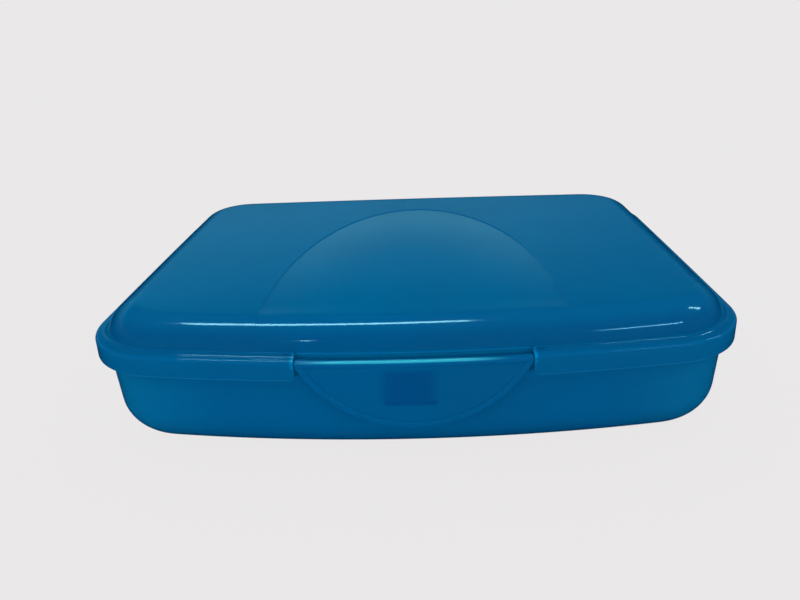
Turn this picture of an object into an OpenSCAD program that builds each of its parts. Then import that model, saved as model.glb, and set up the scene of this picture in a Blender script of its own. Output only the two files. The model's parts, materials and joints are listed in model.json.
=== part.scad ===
// Hinged lunch box: a low tub with a bowed front, a domed lid on two rear hinges,
// a swinging front clip in a gap of the lid's skirt, and two lift-out dividers.
// Millimetres. X is the width, the front faces -Y, Z is up, and the box stands on z = 0.

/* [Overall size] */
// Width of the lid's rim, left to right
lid_w = 235; // [210:1:260]
// Depth of the lid's rim, from the middle of the front to the middle of the back
lid_d = 188; // [170:1:210]
// Height of the closed box
total_h = 50; // [47:0.5:60]
// Height of the tub's rim, where tub and lid part
seam_z = 38; // [34:0.5:42]

/* [Outline seen from above] */
// How far the middle of the front stands out past its ends
front_bow = 12; // [6:0.5:16]
// How far the middle of the back stands out past its ends
back_bow = 2; // [1:0.5:4]
// How far the middle of each side stands out past its ends
side_bow = 0.4; // [0.2:0.1:1]
// Radius of the two front corners
front_corner_r = 32; // [30:1:38]
// Radius of the two back corners
back_corner_r = 29; // [28:1:36]

/* [Tub] */
// Thickness of the tub's wall and floor
tub_wall = 2; // [1.6:0.1:2.4]
// Distance from the lid's rim in to the tub's wall, at the seam
tub_inset = 3.6; // [3.4:0.1:5]
// How far the tub's wall leans in from the seam down to the table
tub_draft = 2.5; // [1.5:0.1:4]
// Radius of the round between wall and bottom
tub_fillet = 14; // [10:0.5:15]
// Width of the flat ring that the tub stands on
foot_ring_w = 4; // [3:0.5:5]
// Height of the bottom panel inside that ring
foot_recess = 0.8; // [0.4:0.1:1.2]
// How far the rim's lip stands out from the wall
lip_out = 1.6; // [1:0.1:1.7]
// Thickness of the rim's lip
lip_t = 1.6; // [1.2:0.1:2]
// Distance from the lid's lugs to the ends of that lip, at the front
lip_back = 30; // [26:1:34]

/* [Lid] */
// Thickness of the dome
lid_wall = 2; // [1.6:0.1:2.4]
// Thickness of the flange round the dome
flange_t = 2; // [1.6:0.1:2.4]
// Thickness of the skirt that hangs from the flange
skirt_wall = 1.6; // [1.2:0.1:1.7]
// How far the skirt reaches below the seam
skirt_drop = 5.5; // [4.5:0.1:7]
// Radius of the flange's outer edge
edge_r = 1.2; // [0.6:0.1:1.6]
// Width of the ledge between the rim and the dome, at the front
ledge = 3.8; // [3:0.1:4.4]
// Width of that ledge at the sides
side_ledge = 4.6; // [4.4:0.1:6]
// Width of that ledge at the back
back_ledge = 7; // [6:0.1:9]
// How far the dome's wall leans in over its height
dome_draft = 4.5; // [3:0.1:6]
// Radius of the dome's upper edge
dome_fillet = 7; // [5:0.5:8]
// Radius of the hollow round at the dome's foot
dome_foot_r = 1.2; // [0.6:0.1:1.6]

/* [Arch panel on the lid] */
// Half the width of the panel
arch_half_w = 53; // [48:1:60]
// Distance from the front of the rim back to the panel's highest point
arch_reach = 148; // [120:1:155]
// Length of the panel's straight sides, from the front of the rim
arch_straight = 26; // [20:1:40]
// Depth of the panel below the dome
arch_depth = 0.5; // [0.3:0.1:0.8]

/* [Front clip] */
// Width of the clip
clip_w = 78; // [70:1:90]
// Height of the clip, from the flange's top face to its lowest point
clip_h = 25.5; // [22:0.5:27]
// Radius of the clip's lower edge
clip_edge_r = 44.6; // [43:0.1:56]
// Thickness of the clip's plate
clip_wall = 1.6; // [1.2:0.1:1.8]
// Radius of the bead along the clip's top
bead_r = 1.5; // [1.3:0.1:1.6]
// Width of the thick rim along the clip's lower edge
clip_rim_w = 2.2; // [1.6:0.1:3]
// Thickness of that rim
clip_rim_t = 2.6; // [2.2:0.1:2.8]
// Depth of the plate's face behind the bead and rim
clip_face_in = 0.5; // [0.3:0.1:0.7]
// Distance from the rim's outline back to the clip's pins, at the ends of the clip
clip_pin_in = 1.7; // [1.65:0.05:1.8]
// Radius of the clip's pins
clip_pin_r = 0.9; // [0.7:0.05:1]
// Width of the lug at each end of the clip
lug_w = 3.6; // [3:0.1:5]
// Radius of the skirt's lower corners beside the clip
gap_corner_r = 3; // [2:0.5:4]
// Length of the clip's knuckle at each end
clip_knuckle_w = 3.4; // [3:0.1:6]
// Width of the hook and of the catch
catch_w = 18; // [12:1:24]
// Height of the catch's lower edge
catch_z = 21; // [20:0.5:24]
// Height of the catch
catch_h = 14; // [10:0.5:14]
// Distance from the rim's outline back to the catch's face
catch_in = 3.5; // [3.4:0.05:3.6]
// Distance from the rim's outline back to the hook's tip
hook_in = 3.2; // [3:0.05:3.2]
// Height of the hook
hook_h = 2.2; // [1.6:0.1:2.4]

/* [Rear hinges] */
// Distance from the middle of the box to the middle of each hinge
hinge_x = 60; // [40:1:75]
// Radius of the hinge knuckles
knuckle_r = 3; // [2.6:0.1:3.2]
// Width of the lid's knuckle
knuckle_w = 14; // [10:0.5:20]
// Width of each ear on the tub
ear_w = 4; // [3:0.5:6]
// Radius of the hinge pins
hinge_pin_r = 1.25; // [1:0.05:1.5]
// Radius of the hinge pins' heads
pin_head_r = 2; // [1.8:0.1:2.4]
// Thickness of those heads
pin_head_t = 1; // [0.8:0.1:1.4]
// How far the tub's ears reach down the wall from the skirt
ear_drop = 9; // [7:0.5:12]

/* [Dividers] */
// Thickness of the dividers
divider_t = 1.6; // [1.2:0.1:2]
// Place of the long divider, right of the middle
divider_x = 18.5; // [10:0.5:30]
// Place of the cross divider, behind the middle
divider_y = 0; // [-15:1:15]
// Radius of the dividers' upper corners
divider_corner_r = 13; // [12.5:0.5:15]
// Width of the finger scoop in a divider's top edge
scoop_w = 26; // [20:1:34]
// Depth of that scoop
scoop_depth = 4; // [3:0.5:6]
// How far the guide ribs stand out
guide_out = 2.2; // [1.8:0.1:3]
// Length of the floor ribs that hold the inner end of the cross divider
floor_rib_l = 12; // [8:1:20]
// Height of those ribs
floor_rib_h = 7; // [5:0.5:10]
// Width of one guide rib
guide_w = 1.6; // [1.2:0.1:2]
// Distance from the seam down to the top of the tub's guide ribs
guide_below = 3; // [2:0.5:6]

/* [Clearances] */
// Gap between the tub's rim and the lid's flange
seam_gap = 0.2; // [0.1:0.05:0.3]
// Gap between a turning knuckle and its neighbour
knuckle_gap = 0.4; // [0.3:0.05:0.6]
// Radial gap of a turning pin in its bore
running_gap = 0.05; // [0.03:0.01:0.08]
// Gap between the skirt's back face and the hinge knuckles
hinge_gap = 0.45; // [0.35:0.05:0.6]
// Gap between the clip's bead and the pocket behind it, with the clip swung up
pocket_gap = 0.4; // [0.3:0.05:0.5]
// How far the tub's rim is cut back at the front, behind the clip
clip_relief = 0.6; // [0.5:0.05:0.7]
// Gap between a divider and the wall, at its ends
divider_end_gap = 0.5; // [0.4:0.05:0.7]
// Gap between a divider and its guide ribs
divider_side_gap = 0.25; // [0.2:0.05:0.4]
// Gap under a divider
divider_floor_gap = 0.1; // [0.05:0.05:0.2]

/* [Hidden] */

$fn = 48;
SEAT = 0.6;          // how deep a joined feature sits in its wall
PAST = 1;            // how far a cutter runs past a face
BIG_FN = 1440;       // for cylinders as wide as the front bow

tub_blue = [0.02, 0.36, 0.58];
lid_blue = [0.04, 0.40, 0.62];
clip_blue = [0.01, 0.30, 0.54];
pin_blue = [0.01, 0.26, 0.48];
divider_blue = [0.10, 0.45, 0.66];

// Outline: four shallow arcs and four corner arcs. An offset outline keeps the same
// centres and changes every radius by the offset.
half_w = lid_w / 2;
half_d = lid_d / 2;
function bow_radius(half, bow) = (half * half + bow * bow) / (2 * bow);
front_R = bow_radius(half_w, front_bow);
back_R = bow_radius(half_w, back_bow);
side_R = bow_radius(half_d, side_bow);
function corner_centre(end_R, r) =
    let (c0 = [0, half_d - end_R],
         c1 = [half_w - side_R, 0],
         q0 = end_R - r,
         q1 = side_R - r,
         span = norm(c1 - c0),
         u = (c1 - c0) / span,
         m = (q0 * q0 - q1 * q1 + span * span) / (2 * span),
         h = sqrt(q0 * q0 - m * m))
    c0 + m * u + h * [u.y, -u.x];

SIDE_STEPS = 2;
CORNER_STEPS = 10;
END_STEPS = 8;
// A quarter of the outline with both coordinates positive, from the side's middle to the end's
function quarter(end_R, r, o) =
    let (c = corner_centre(end_R, r),
         side_c = [half_w - side_R, 0],
         end_c = [0, half_d - end_R],
         a_side = atan2(c.y - side_c.y, c.x - side_c.x),
         a_end = atan2(c.y - end_c.y, c.x - end_c.x))
    concat(
        [for (i = [0 : SIDE_STEPS - 1]) let (a = a_side * i / SIDE_STEPS)
            side_c + (side_R + o) * [cos(a), sin(a)]],
        [for (i = [0 : CORNER_STEPS - 1]) let (a = a_side + (a_end - a_side) * i / CORNER_STEPS)
            c + (r + o) * [cos(a), sin(a)]],
        [for (i = [0 : END_STEPS]) let (a = a_end + (90 - a_end) * i / END_STEPS)
            end_c + (end_R + o) * [cos(a), sin(a)]]);
back_corner = corner_centre(back_R, back_corner_r);
front_corner = corner_centre(front_R, front_corner_r);
function pulled_in(v, extra, corner) = v - extra * min(1, v / corner);
// One ring of a shell at height z: outline offset o, drawn in further at the sides and the
// back by the share d of the ledge's extra width there
function ring(o, d, z) =
    let (side = d * (side_ledge - ledge),
         back = d * (back_ledge - ledge),
         b = [for (q = quarter(back_R, back_corner_r, o))
            [pulled_in(q.x, side, back_corner.x), pulled_in(q.y, back, back_corner.y)]],
         f = [for (q = quarter(front_R, front_corner_r, o))
            [pulled_in(q.x, side, front_corner.x), q.y]],
         n = len(b) - 1)
    concat(
        [for (i = [0 : n]) [b[i].x, b[i].y, z]],
        [for (i = [n - 1 : -1 : 1]) [-b[i].x, b[i].y, z]],
        [for (i = [0 : n]) [-f[i].x, -f[i].y, z]],
        [for (i = [n - 1 : -1 : 1]) [f[i].x, -f[i].y, z]]);
// Closed solid through rings [o, d, z], with flat caps on the first and last
module loft(profile) {
    rings = [for (p = profile) ring(p[0], p[1], p[2])];
    n = len(rings[0]);
    m = len(rings);
    polyhedron(
        points = [for (r = rings) for (p = r) p],
        faces = concat(
            [[for (j = [0 : n - 1]) j]],
            [[for (j = [n - 1 : -1 : 0]) (m - 1) * n + j]],
            [for (i = [0 : m - 2]) for (j = [0 : n - 1])
                let (k = (j + 1) % n) [i * n + j, (i + 1) * n + j, (i + 1) * n + k]],
            [for (i = [0 : m - 2]) for (j = [0 : n - 1])
                let (k = (j + 1) % n) [i * n + j, (i + 1) * n + k, i * n + k]]),
        convexity = 6);
}

// The row's origin is the middle of the box that holds everything, hinges included
hinge_line_y = half_d - back_bow * pow((hinge_x - knuckle_w / 2) / half_w, 2);
hinge_y = hinge_line_y + hinge_gap + knuckle_r;
skirt_z = seam_z - skirt_drop;
hinge_z = skirt_z + 0.5;
plan_y = -(hinge_y + knuckle_r - half_d) / 2;

// Y of the front and back outlines, offset o, at a distance x from the middle
front_c_y = front_R - half_d;
function front_y(x, o) = front_c_y - sqrt(pow(front_R + o, 2) - x * x);
function back_y(x, o) = half_d - back_R + sqrt(pow(back_R + o, 2) - x * x);
function side_x(y, o) = half_w - side_R + sqrt(pow(side_R + o, 2) - y * y);

// Tub wall: offset of its outer face at height z
function tub_o(z) = -tub_inset - tub_draft * (1 - z / seam_z);
function tub_inner_o(z) = tub_o(z) - tub_wall;
floor_z = foot_recess + tub_wall;
inner_fillet = tub_fillet - tub_wall;
FILLET_STEP = 15;
foot_o = tub_o(0) - tub_fillet;
rim_z = seam_z - seam_gap;
lip_o = -tub_inset + lip_out;
lip_z = rim_z - lip_t;
LIP_EASE = 0.3;
tub_profile = concat(
    [[foot_o - foot_ring_w - foot_recess, 0, foot_recess],
     [foot_o - foot_ring_w, 0, 0]],
    [for (t = [0 : FILLET_STEP : 90]) let (z = tub_fillet * (1 - cos(t)))
        [tub_o(z) - tub_fillet * (1 - sin(t)), 0, z]],
    [[tub_o(lip_z - lip_out), 0, lip_z - lip_out],
     [lip_o, 0, lip_z],
     [lip_o, 0, rim_z - LIP_EASE],
     [lip_o - LIP_EASE, 0, rim_z],
     [tub_inner_o(rim_z) + LIP_EASE, 0, rim_z],
     [tub_inner_o(rim_z), 0, rim_z - LIP_EASE]],
    [for (t = [90 : -FILLET_STEP : 0]) let (z = floor_z + inner_fillet * (1 - cos(t)))
        [tub_inner_o(z) - inner_fillet * (1 - sin(t)), 0, z]]);

// Lid: flange, skirt and dome
flange_z = seam_z + flange_t;
dome_h = total_h - flange_z;
inner_dome_r = dome_fillet - lid_wall;
inner_top_z = total_h - lid_wall;
function dome_o(z) = -ledge - dome_draft * (z - flange_z) / dome_h;
function dome_rings(sink) =
    [for (t = [0 : FILLET_STEP : 90]) let (z = total_h - dome_fillet * (1 - sin(t)))
        [dome_o(z) - dome_fillet * (1 - cos(t)) - sink, 1, z - sink]];
foot_round = [for (t = [0 : 30 : 90])
    [dome_o(flange_z) + dome_foot_r * (1 - sin(t)),
     (t + 30) / 120,
     flange_z + dome_foot_r * (1 - cos(t))]];
lid_profile = concat(
    [for (t = [90 : -FILLET_STEP : 0]) let (z = inner_top_z - inner_dome_r * (1 - sin(t)))
        [dome_o(z) - lid_wall - inner_dome_r * (1 - cos(t)), 1, z]],
    [[dome_o(flange_z) - lid_wall, 1, seam_z],
     [-skirt_wall, 0, seam_z],
     [-skirt_wall, 0, skirt_z + LIP_EASE],
     [-skirt_wall + LIP_EASE, 0, skirt_z],
     [-LIP_EASE, 0, skirt_z],
     [0, 0, skirt_z + LIP_EASE],
     [0, 0, flange_z - edge_r]],
    [for (t = [30 : 30 : 90]) [-edge_r * (1 - cos(t)), 0, flange_z - edge_r * (1 - sin(t))]],
    foot_round,
    dome_rings(0));
// Everything under the sunk arch panel
sunk_profile = concat([[dome_o(flange_z) - arch_depth, 1, seam_z]],
    dome_rings(arch_depth));

// Clip: its pins lie on one straight line through the ends of the bowed bead
clip_half = clip_w / 2;
gap_half = clip_half + knuckle_gap;
window_half = gap_half + lug_w;
bead_z = flange_z - bead_r - 0.3;
clip_pin_y = front_y(clip_half, 0) + clip_pin_in;
clip_pin_z = bead_z;
clip_low_z = flange_z - clip_h;
bead_ahead = clip_pin_y - front_y(0, -bead_r);
pocket_o = -(clip_pin_y - front_y(0, 0)) - bead_r - pocket_gap;
pocket_top_z = clip_pin_z + bead_ahead + bead_r + pocket_gap;
pad_wall = 1.6;
lug_z = clip_pin_z - 2.3;
lug_back_o = -tub_inset + seam_gap;

// Slab in front of the front outline offset by o
module front_slab(half, o, z0, z1) {
    difference() {
        translate([-half, front_y(0, 0) - 2 * PAST, z0])
            cube([2 * half, 8 * bead_r, z1 - z0]);
        translate([0, front_c_y, z0 - PAST])
            cylinder(r = front_R + o, h = z1 - z0 + 2 * PAST, $fn = BIG_FN);
    }
}
// Bowed slab between the front outlines offset by o_out and o_in
module front_shell(half, o_out, o_in, z0, z1) {
    intersection() {
        front_slab(half, o_in, z0, z1);
        translate([0, front_c_y, z0])
            cylinder(r = front_R + o_out, h = z1 - z0, $fn = BIG_FN);
    }
}
// A profile in Y and Z, given a thickness w along X and centred on x
module across(x, w) {
    translate([x - w / 2, 0, 0]) rotate([90, 0, 90]) linear_extrude(w) children();
}
// A profile in X and Z, from y to y + d
module along(y, d) {
    translate([0, y + d, 0]) rotate([90, 0, 0]) linear_extrude(d) children();
}
module x_cylinder(x0, x1, y, z, r) {
    translate([x0, y, z]) rotate([0, 90, 0]) cylinder(r = r, h = x1 - x0);
}
module both_sides() {
    children();
    mirror([1, 0, 0]) children();
}

module tub_ear(x) {
    low = skirt_z - ear_drop;
    top = skirt_z - knuckle_gap;
    wall_top = back_y(hinge_x, tub_o(top)) - SEAT;
    wall_low = back_y(hinge_x, tub_o(low)) - SEAT;
    across(x, ear_w) union() {
        translate([hinge_y, hinge_z]) circle(knuckle_r);
        polygon([[wall_low, low], [hinge_y, hinge_z - knuckle_r],
            [hinge_y + 0.6 * knuckle_r, hinge_z - 0.8 * knuckle_r],
            [hinge_y, top], [wall_top, top]]);
    }
}
module hinge_ears() {
    reach = (knuckle_w + ear_w) / 2 + knuckle_gap;
    for (s = [-1, 1]) tub_ear(hinge_x + s * reach);
}
module hinge_bore(half, r) {
    x_cylinder(hinge_x - half - PAST, hinge_x + half + PAST, hinge_y, hinge_z, r);
}
ear_span_half = knuckle_w / 2 + knuckle_gap + ear_w;

// Guide ribs: a pair stands on each wall that a divider meets
slot_half = divider_t / 2 + divider_side_gap;
guide_top = seam_z - guide_below;
guide_low = floor_z + 0.4 * inner_fillet;   // here a rib's foot sinks into the round
module guide_profile(y_top, y_low, inward) {
    polygon([[y_top - inward * SEAT / 2, guide_top], [y_top + inward * guide_out, guide_top - guide_out],
        [y_low + inward * guide_out, guide_low], [y_low - inward * SEAT / 2, guide_low]]);
}
module end_guides() {
    for (s = [-1, 1]) {
        x = divider_x + s * (slot_half + guide_w / 2);
        across(x, guide_w) guide_profile(front_y(x, tub_inner_o(guide_top)),
            front_y(x, tub_inner_o(guide_low)), 1);
        across(x, guide_w) guide_profile(back_y(x, tub_inner_o(guide_top)),
            back_y(x, tub_inner_o(guide_low)), -1);
    }
}
module side_guides() {
    for (s = [-1, 1]) {
        y = divider_y + s * (slot_half + guide_w / 2);
        along(y - guide_w / 2, guide_w) guide_profile(side_x(y, tub_inner_o(guide_top)),
            side_x(y, tub_inner_o(guide_low)), -1);
    }
}
module floor_ribs() {
    for (s = [-1, 1])
        translate([divider_x + divider_t / 2 + divider_side_gap,
                divider_y + s * (slot_half + guide_w / 2) - guide_w / 2, floor_z - SEAT])
            cube([floor_rib_l, guide_w, SEAT + floor_rib_h]);
}
// Catch under which the clip's hook swings
module catch() {
    top = catch_z + catch_h;
    flare = 3;
    face_y = front_y(0, -catch_in);
    root_y = front_y(0, tub_o(catch_z)) + SEAT;
    along(face_y, root_y - face_y) polygon([[-catch_w / 2, catch_z], [catch_w / 2, catch_z],
        [catch_w / 2, top - flare], [catch_w / 2 + flare, top],
        [-catch_w / 2 - flare, top], [-catch_w / 2, top - flare]]);
}

module base_tub() {
    color(tub_blue) translate([0, plan_y, 0]) difference() {
        union() {
            difference() {
                loft(tub_profile);
                front_slab(window_half + lip_back, -tub_inset - clip_relief,
                    lip_z - 2 * lip_out, seam_z + PAST);
            }
            both_sides() hinge_ears();
            end_guides();
            side_guides();
            floor_ribs();
            catch();
        }
        both_sides() hinge_bore(ear_span_half, hinge_pin_r);
    }
}

module lid_knuckle() {
    face = back_y(hinge_x, 0) - SEAT;
    high = flange_z - 2 * LIP_EASE;
    across(hinge_x, knuckle_w) union() {
        translate([hinge_y, hinge_z]) circle(knuckle_r);
        polygon([[face, skirt_z + 2 * LIP_EASE], [hinge_y - 0.6 * knuckle_r, hinge_z - 0.8 * knuckle_r],
            [hinge_y, hinge_z], [hinge_y + 0.6 * knuckle_r, hinge_z + 0.8 * knuckle_r],
            [face + 2 * SEAT, high], [face, high]]);
    }
}
module clip_lug() {
    x = gap_half + lug_w / 2;
    front = front_y(gap_half, 0) + 2 * LIP_EASE;
    back = front_y(gap_half, lug_back_o);
    across(x, lug_w) polygon([[front, lug_z], [back, lug_z], [back, seam_z + LIP_EASE],
        [front, seam_z + LIP_EASE]]);
}
// Rounds the skirt's lower corners on both sides of the clip
module skirt_corners() {
    low = skirt_z - PAST;
    both_sides() along(front_y(0, 0) - PAST, half_d / 8) difference() {
        translate([gap_half - PAST, low]) square([gap_corner_r + PAST, gap_corner_r + PAST]);
        translate([gap_half + gap_corner_r, skirt_z + gap_corner_r]) circle(gap_corner_r);
    }
}
ARCH_STEPS = 36;
module arch_outline() {
    arch_y = -half_d + arch_straight;
    reach = arch_reach - arch_straight;
    polygon(concat([[-arch_half_w, -half_d - PAST], [arch_half_w, -half_d - PAST]],
        [for (i = [0 : ARCH_STEPS]) let (a = 180 * i / ARCH_STEPS)
            [arch_half_w * cos(a), arch_y + reach * sin(a)]]));
}
module arch_cut() {
    difference() {
        translate([0, 0, flange_z + LIP_EASE]) linear_extrude(dome_h + PAST) arch_outline();
        loft(sunk_profile);
    }
}

module lid_shell() {
    pad_o = pocket_o - pad_wall;
    pad_top = flange_z + dome_h * (-pad_o - ledge - lid_wall) / dome_draft;
    color(lid_blue) translate([0, plan_y, 0]) difference() {
        union() {
            difference() {
                loft(lid_profile);
                arch_cut();
                skirt_corners();
            }
            front_shell(window_half, pocket_o + pad_wall, pad_o, seam_z + LIP_EASE, pad_top);
            both_sides() {
                clip_lug();
                lid_knuckle();
            }
        }
        front_slab(gap_half, pocket_o, skirt_z - PAST, pocket_top_z);
        both_sides() {
            x_cylinder(gap_half - PAST, window_half - PAST / 2, clip_pin_y, clip_pin_z, clip_pin_r);
            hinge_bore(knuckle_w / 2, hinge_pin_r + running_gap);
        }
    }
}

module clip_outline(inset) {
    intersection() {
        translate([0, clip_low_z + clip_edge_r]) circle(clip_edge_r - inset, $fn = 180);
        translate([-clip_half, clip_low_z]) square([clip_w, bead_z - clip_low_z]);
    }
}
module clip_layer(o_out, o_in) {
    intersection() {
        front_shell(clip_half, o_out, o_in, clip_low_z - PAST, bead_z);
        along(front_y(0, 0) - PAST, half_d / 8) children();
    }
}
module clip_bead() {
    swing = asin(clip_half / (front_R - bead_r));
    translate([0, front_c_y, bead_z]) rotate([0, 0, -90 - swing])
        rotate_extrude(angle = 2 * swing, $fn = BIG_FN)
            translate([front_R - bead_r, 0]) circle(bead_r);
}
module clip_hook() {
    top = catch_z - 2 * seam_gap;
    tip = front_y(0, -hook_in);
    root = front_y(0, -clip_face_in - clip_wall) - SEAT;
    across(0, catch_w) polygon([[root, top], [tip, top], [tip, top - hook_h / 2],
        [tip - hook_h / 3, top - hook_h], [root, top - hook_h]]);
}
module front_latch() {
    color(clip_blue) translate([0, plan_y, 0]) difference() {
        union() {
            clip_layer(-clip_face_in, -clip_face_in - clip_wall) clip_outline(0);
            clip_layer(0, -clip_rim_t) difference() {
                clip_outline(0);
                clip_outline(clip_rim_w);
            }
            clip_bead();
            clip_hook();
            both_sides() x_cylinder(clip_half - clip_knuckle_w, clip_half, clip_pin_y, clip_pin_z, bead_r);
        }
        both_sides() x_cylinder(clip_half - clip_knuckle_w + PAST / 2, clip_half + PAST,
            clip_pin_y, clip_pin_z, clip_pin_r + running_gap);
    }
}

module hinge_pin(side) {
    color(pin_blue) translate([0, plan_y, 0]) mirror([side < 0 ? 1 : 0, 0, 0]) {
        x_cylinder(hinge_x - ear_span_half, hinge_x + ear_span_half, hinge_y, hinge_z, hinge_pin_r);
        x_cylinder(hinge_x + ear_span_half, hinge_x + ear_span_half + pin_head_t,
            hinge_y, hinge_z, pin_head_r);
    }
}
module latch_pin(side) {
    color(pin_blue) translate([0, plan_y, 0]) mirror([side < 0 ? 1 : 0, 0, 0])
        x_cylinder(clip_half - clip_knuckle_w + PAST, window_half - PAST / 2,
            clip_pin_y, clip_pin_z, clip_pin_r);
}
module hinge_pin_left() { hinge_pin(-1); }
module hinge_pin_right() { hinge_pin(1); }
module latch_pin_left() { latch_pin(-1); }
module latch_pin_right() { latch_pin(1); }

// Dividers: their ends follow the tub's wall and its round at the bottom
divider_low = floor_z + divider_floor_gap;
function wall_run(t) = let (z = floor_z + inner_fillet * (1 - cos(t)))
    [tub_inner_o(z) - inner_fillet * (1 - sin(t)) - divider_end_gap, z + divider_floor_gap];
end_run = concat([for (t = [0 : FILLET_STEP : 90]) wall_run(t)],
    [[tub_inner_o(seam_z - divider_corner_r) - divider_end_gap, seam_z - divider_corner_r]],
    [for (t = [FILLET_STEP : FILLET_STEP : 90])
        [tub_inner_o(seam_z) - divider_end_gap - divider_corner_r * (1 - cos(t)),
         seam_z - divider_corner_r * (1 - sin(t))]]);
module scoop(at) {
    r = (scoop_w * scoop_w / 4 + scoop_depth * scoop_depth) / (2 * scoop_depth);
    translate([at, seam_z - scoop_depth + r]) circle(r, $fn = 96);
}
module divider_long() {
    last = len(end_run) - 1;
    color(divider_blue) translate([0, plan_y, 0])
        across(divider_x, divider_t) difference() {
            polygon(concat(
                [for (i = [0 : last]) [back_y(divider_x, end_run[i].x), end_run[i].y]],
                [for (i = [last : -1 : 0]) [front_y(divider_x, end_run[i].x), end_run[i].y]]));
            scoop(-half_d / 2);
        }
}
module divider_cross() {
    near = divider_x + divider_t / 2 + divider_side_gap;
    last = len(end_run) - 1;
    color(divider_blue) translate([0, plan_y, 0])
        along(divider_y - divider_t / 2, divider_t) difference() {
            polygon(concat([[near, divider_low]],
                [for (i = [0 : last]) [side_x(divider_y, end_run[i].x), end_run[i].y]],
                [[near + divider_corner_r / 2, seam_z], [near, seam_z - divider_corner_r / 2]]));
            scoop((near + half_w) / 2);
        }
}

base_tub();
lid_shell();
front_latch();
hinge_pin_left();
hinge_pin_right();
latch_pin_left();
latch_pin_right();
divider_long();
divider_cross();
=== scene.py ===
# %% [markdown]
# # A hinged lunch box in deep-blue plastic
# The real box is a few mouldings: a low tub with a bowed front, a domed lid, a broad clip
# that swings in a gap of the lid's skirt, and loose dividers inside. The walls are about
# 2 mm thick and every edge is round, so what makes it look real is smooth, even curves and
# thin, sharp highlights. The solids that carry the joints come first, as a fixed frame,
# and each of them gets a smooth piece of the same outer size in its place.

# %% Load the frame
import bmesh
import bpy
import json
from math import asin, atan2, cos, exp, hypot, pi, radians, sin, sqrt
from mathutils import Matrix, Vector

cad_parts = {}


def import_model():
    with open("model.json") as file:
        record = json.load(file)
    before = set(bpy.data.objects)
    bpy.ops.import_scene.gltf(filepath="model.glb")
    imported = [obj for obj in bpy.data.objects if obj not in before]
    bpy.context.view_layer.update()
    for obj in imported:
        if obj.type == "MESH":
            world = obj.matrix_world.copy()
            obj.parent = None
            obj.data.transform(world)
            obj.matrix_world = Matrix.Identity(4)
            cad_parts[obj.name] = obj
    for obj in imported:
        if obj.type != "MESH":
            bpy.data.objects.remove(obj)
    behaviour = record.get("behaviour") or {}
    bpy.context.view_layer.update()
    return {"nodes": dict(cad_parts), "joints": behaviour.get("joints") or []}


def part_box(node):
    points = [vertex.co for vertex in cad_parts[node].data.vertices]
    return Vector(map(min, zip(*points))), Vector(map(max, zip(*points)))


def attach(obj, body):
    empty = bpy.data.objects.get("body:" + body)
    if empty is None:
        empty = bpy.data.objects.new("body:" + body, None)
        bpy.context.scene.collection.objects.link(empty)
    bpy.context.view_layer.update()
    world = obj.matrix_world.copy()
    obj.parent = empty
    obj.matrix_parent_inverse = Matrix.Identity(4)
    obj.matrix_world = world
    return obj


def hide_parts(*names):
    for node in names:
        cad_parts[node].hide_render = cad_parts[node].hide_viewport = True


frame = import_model()
print("solids:", sorted(frame["nodes"]))

# %% [markdown]
# ## Sizes
# All sizes are in millimetres and are multiplied by MM where a mesh is made. The overall
# sizes and the lines of the two hinges are read from the frame, so the new pieces fit the
# solids. The walls, rounds and offsets are this box's own, and each is named in the cell
# that needs it first.

# %% Overall sizes and hinge lines
MM = 0.001
lid_low, lid_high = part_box("lid_shell")
LID_W = (lid_high.x - lid_low.x) / MM
FRONT_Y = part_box("front_latch")[0].y / MM
TOTAL_H = lid_high.z / MM
joints = {joint["name"]: joint for joint in frame["joints"]}
HINGE_Y, HINGE_Z = (value / MM for value in joints["lid_hinge"]["pos_m"][1:])
CLIP_PIN_Y, CLIP_PIN_Z = (value / MM for value in joints["clip_swing"]["pos_m"][1:])
print(f"rim {LID_W:.1f} wide, box {TOTAL_H:.1f} high")
print(f"lid hinge at y {HINGE_Y:.2f}, z {HINGE_Z:.2f}")

# %% Heights that the tub and the lid share
SEAM_Z, SEAM_GAP = 38.0, 0.2       # underside of the lid's flange, and the air under it
FLANGE_T, SKIRT_DROP = 2.0, 5.5    # the flange, and the skirt that hangs from its edge
RIM_Z = SEAM_Z - SEAM_GAP
FLANGE_Z = SEAM_Z + FLANGE_T
SKIRT_Z = SEAM_Z - SKIRT_DROP
print("tub's rim at", RIM_Z, "flange's top at", FLANGE_Z, "skirt's edge at", SKIRT_Z)

# %% [markdown]
# ## The outline
# Seen from above, the box is four shallow arcs joined by four corner arcs. It could be
# drawn once and scaled for every level, but scaling would squash the corners. An outline
# offset inwards keeps the same centres and loses the offset from each radius, so one
# function gives every level of the tub and the lid.

# %% Radii and corners of the outline
HALF_W, HALF_D = LID_W / 2, 94.0
PLAN_Y = FRONT_Y + HALF_D                         # the outline's middle
FRONT_BOW, BACK_BOW, SIDE_BOW = 12.0, 2.0, 0.4    # how far each arc bulges
FRONT_CORNER_R, BACK_CORNER_R = 32.0, 29.0


def bow_radius(half, bow):
    """Radius of an arc that bulges by bow over a chord of twice half."""
    return (half * half + bow * bow) / (2 * bow)


def corner_centre(end_r, r):
    """Centre of the corner arc that touches the side's arc and the end's arc.

    Two circles, round the centres of those arcs and smaller than them by r, cross there.
    """
    end_y, middle_x = HALF_D - end_r, HALF_W - SIDE_R
    end_reach, side_reach = end_r - r, SIDE_R - r
    span = hypot(middle_x, end_y)
    ux, uy = middle_x / span, -end_y / span
    along = (end_reach * end_reach - side_reach * side_reach + span * span) / (2 * span)
    across = sqrt(end_reach * end_reach - along * along)
    return along * ux + across * uy, end_y + along * uy - across * ux


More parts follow.
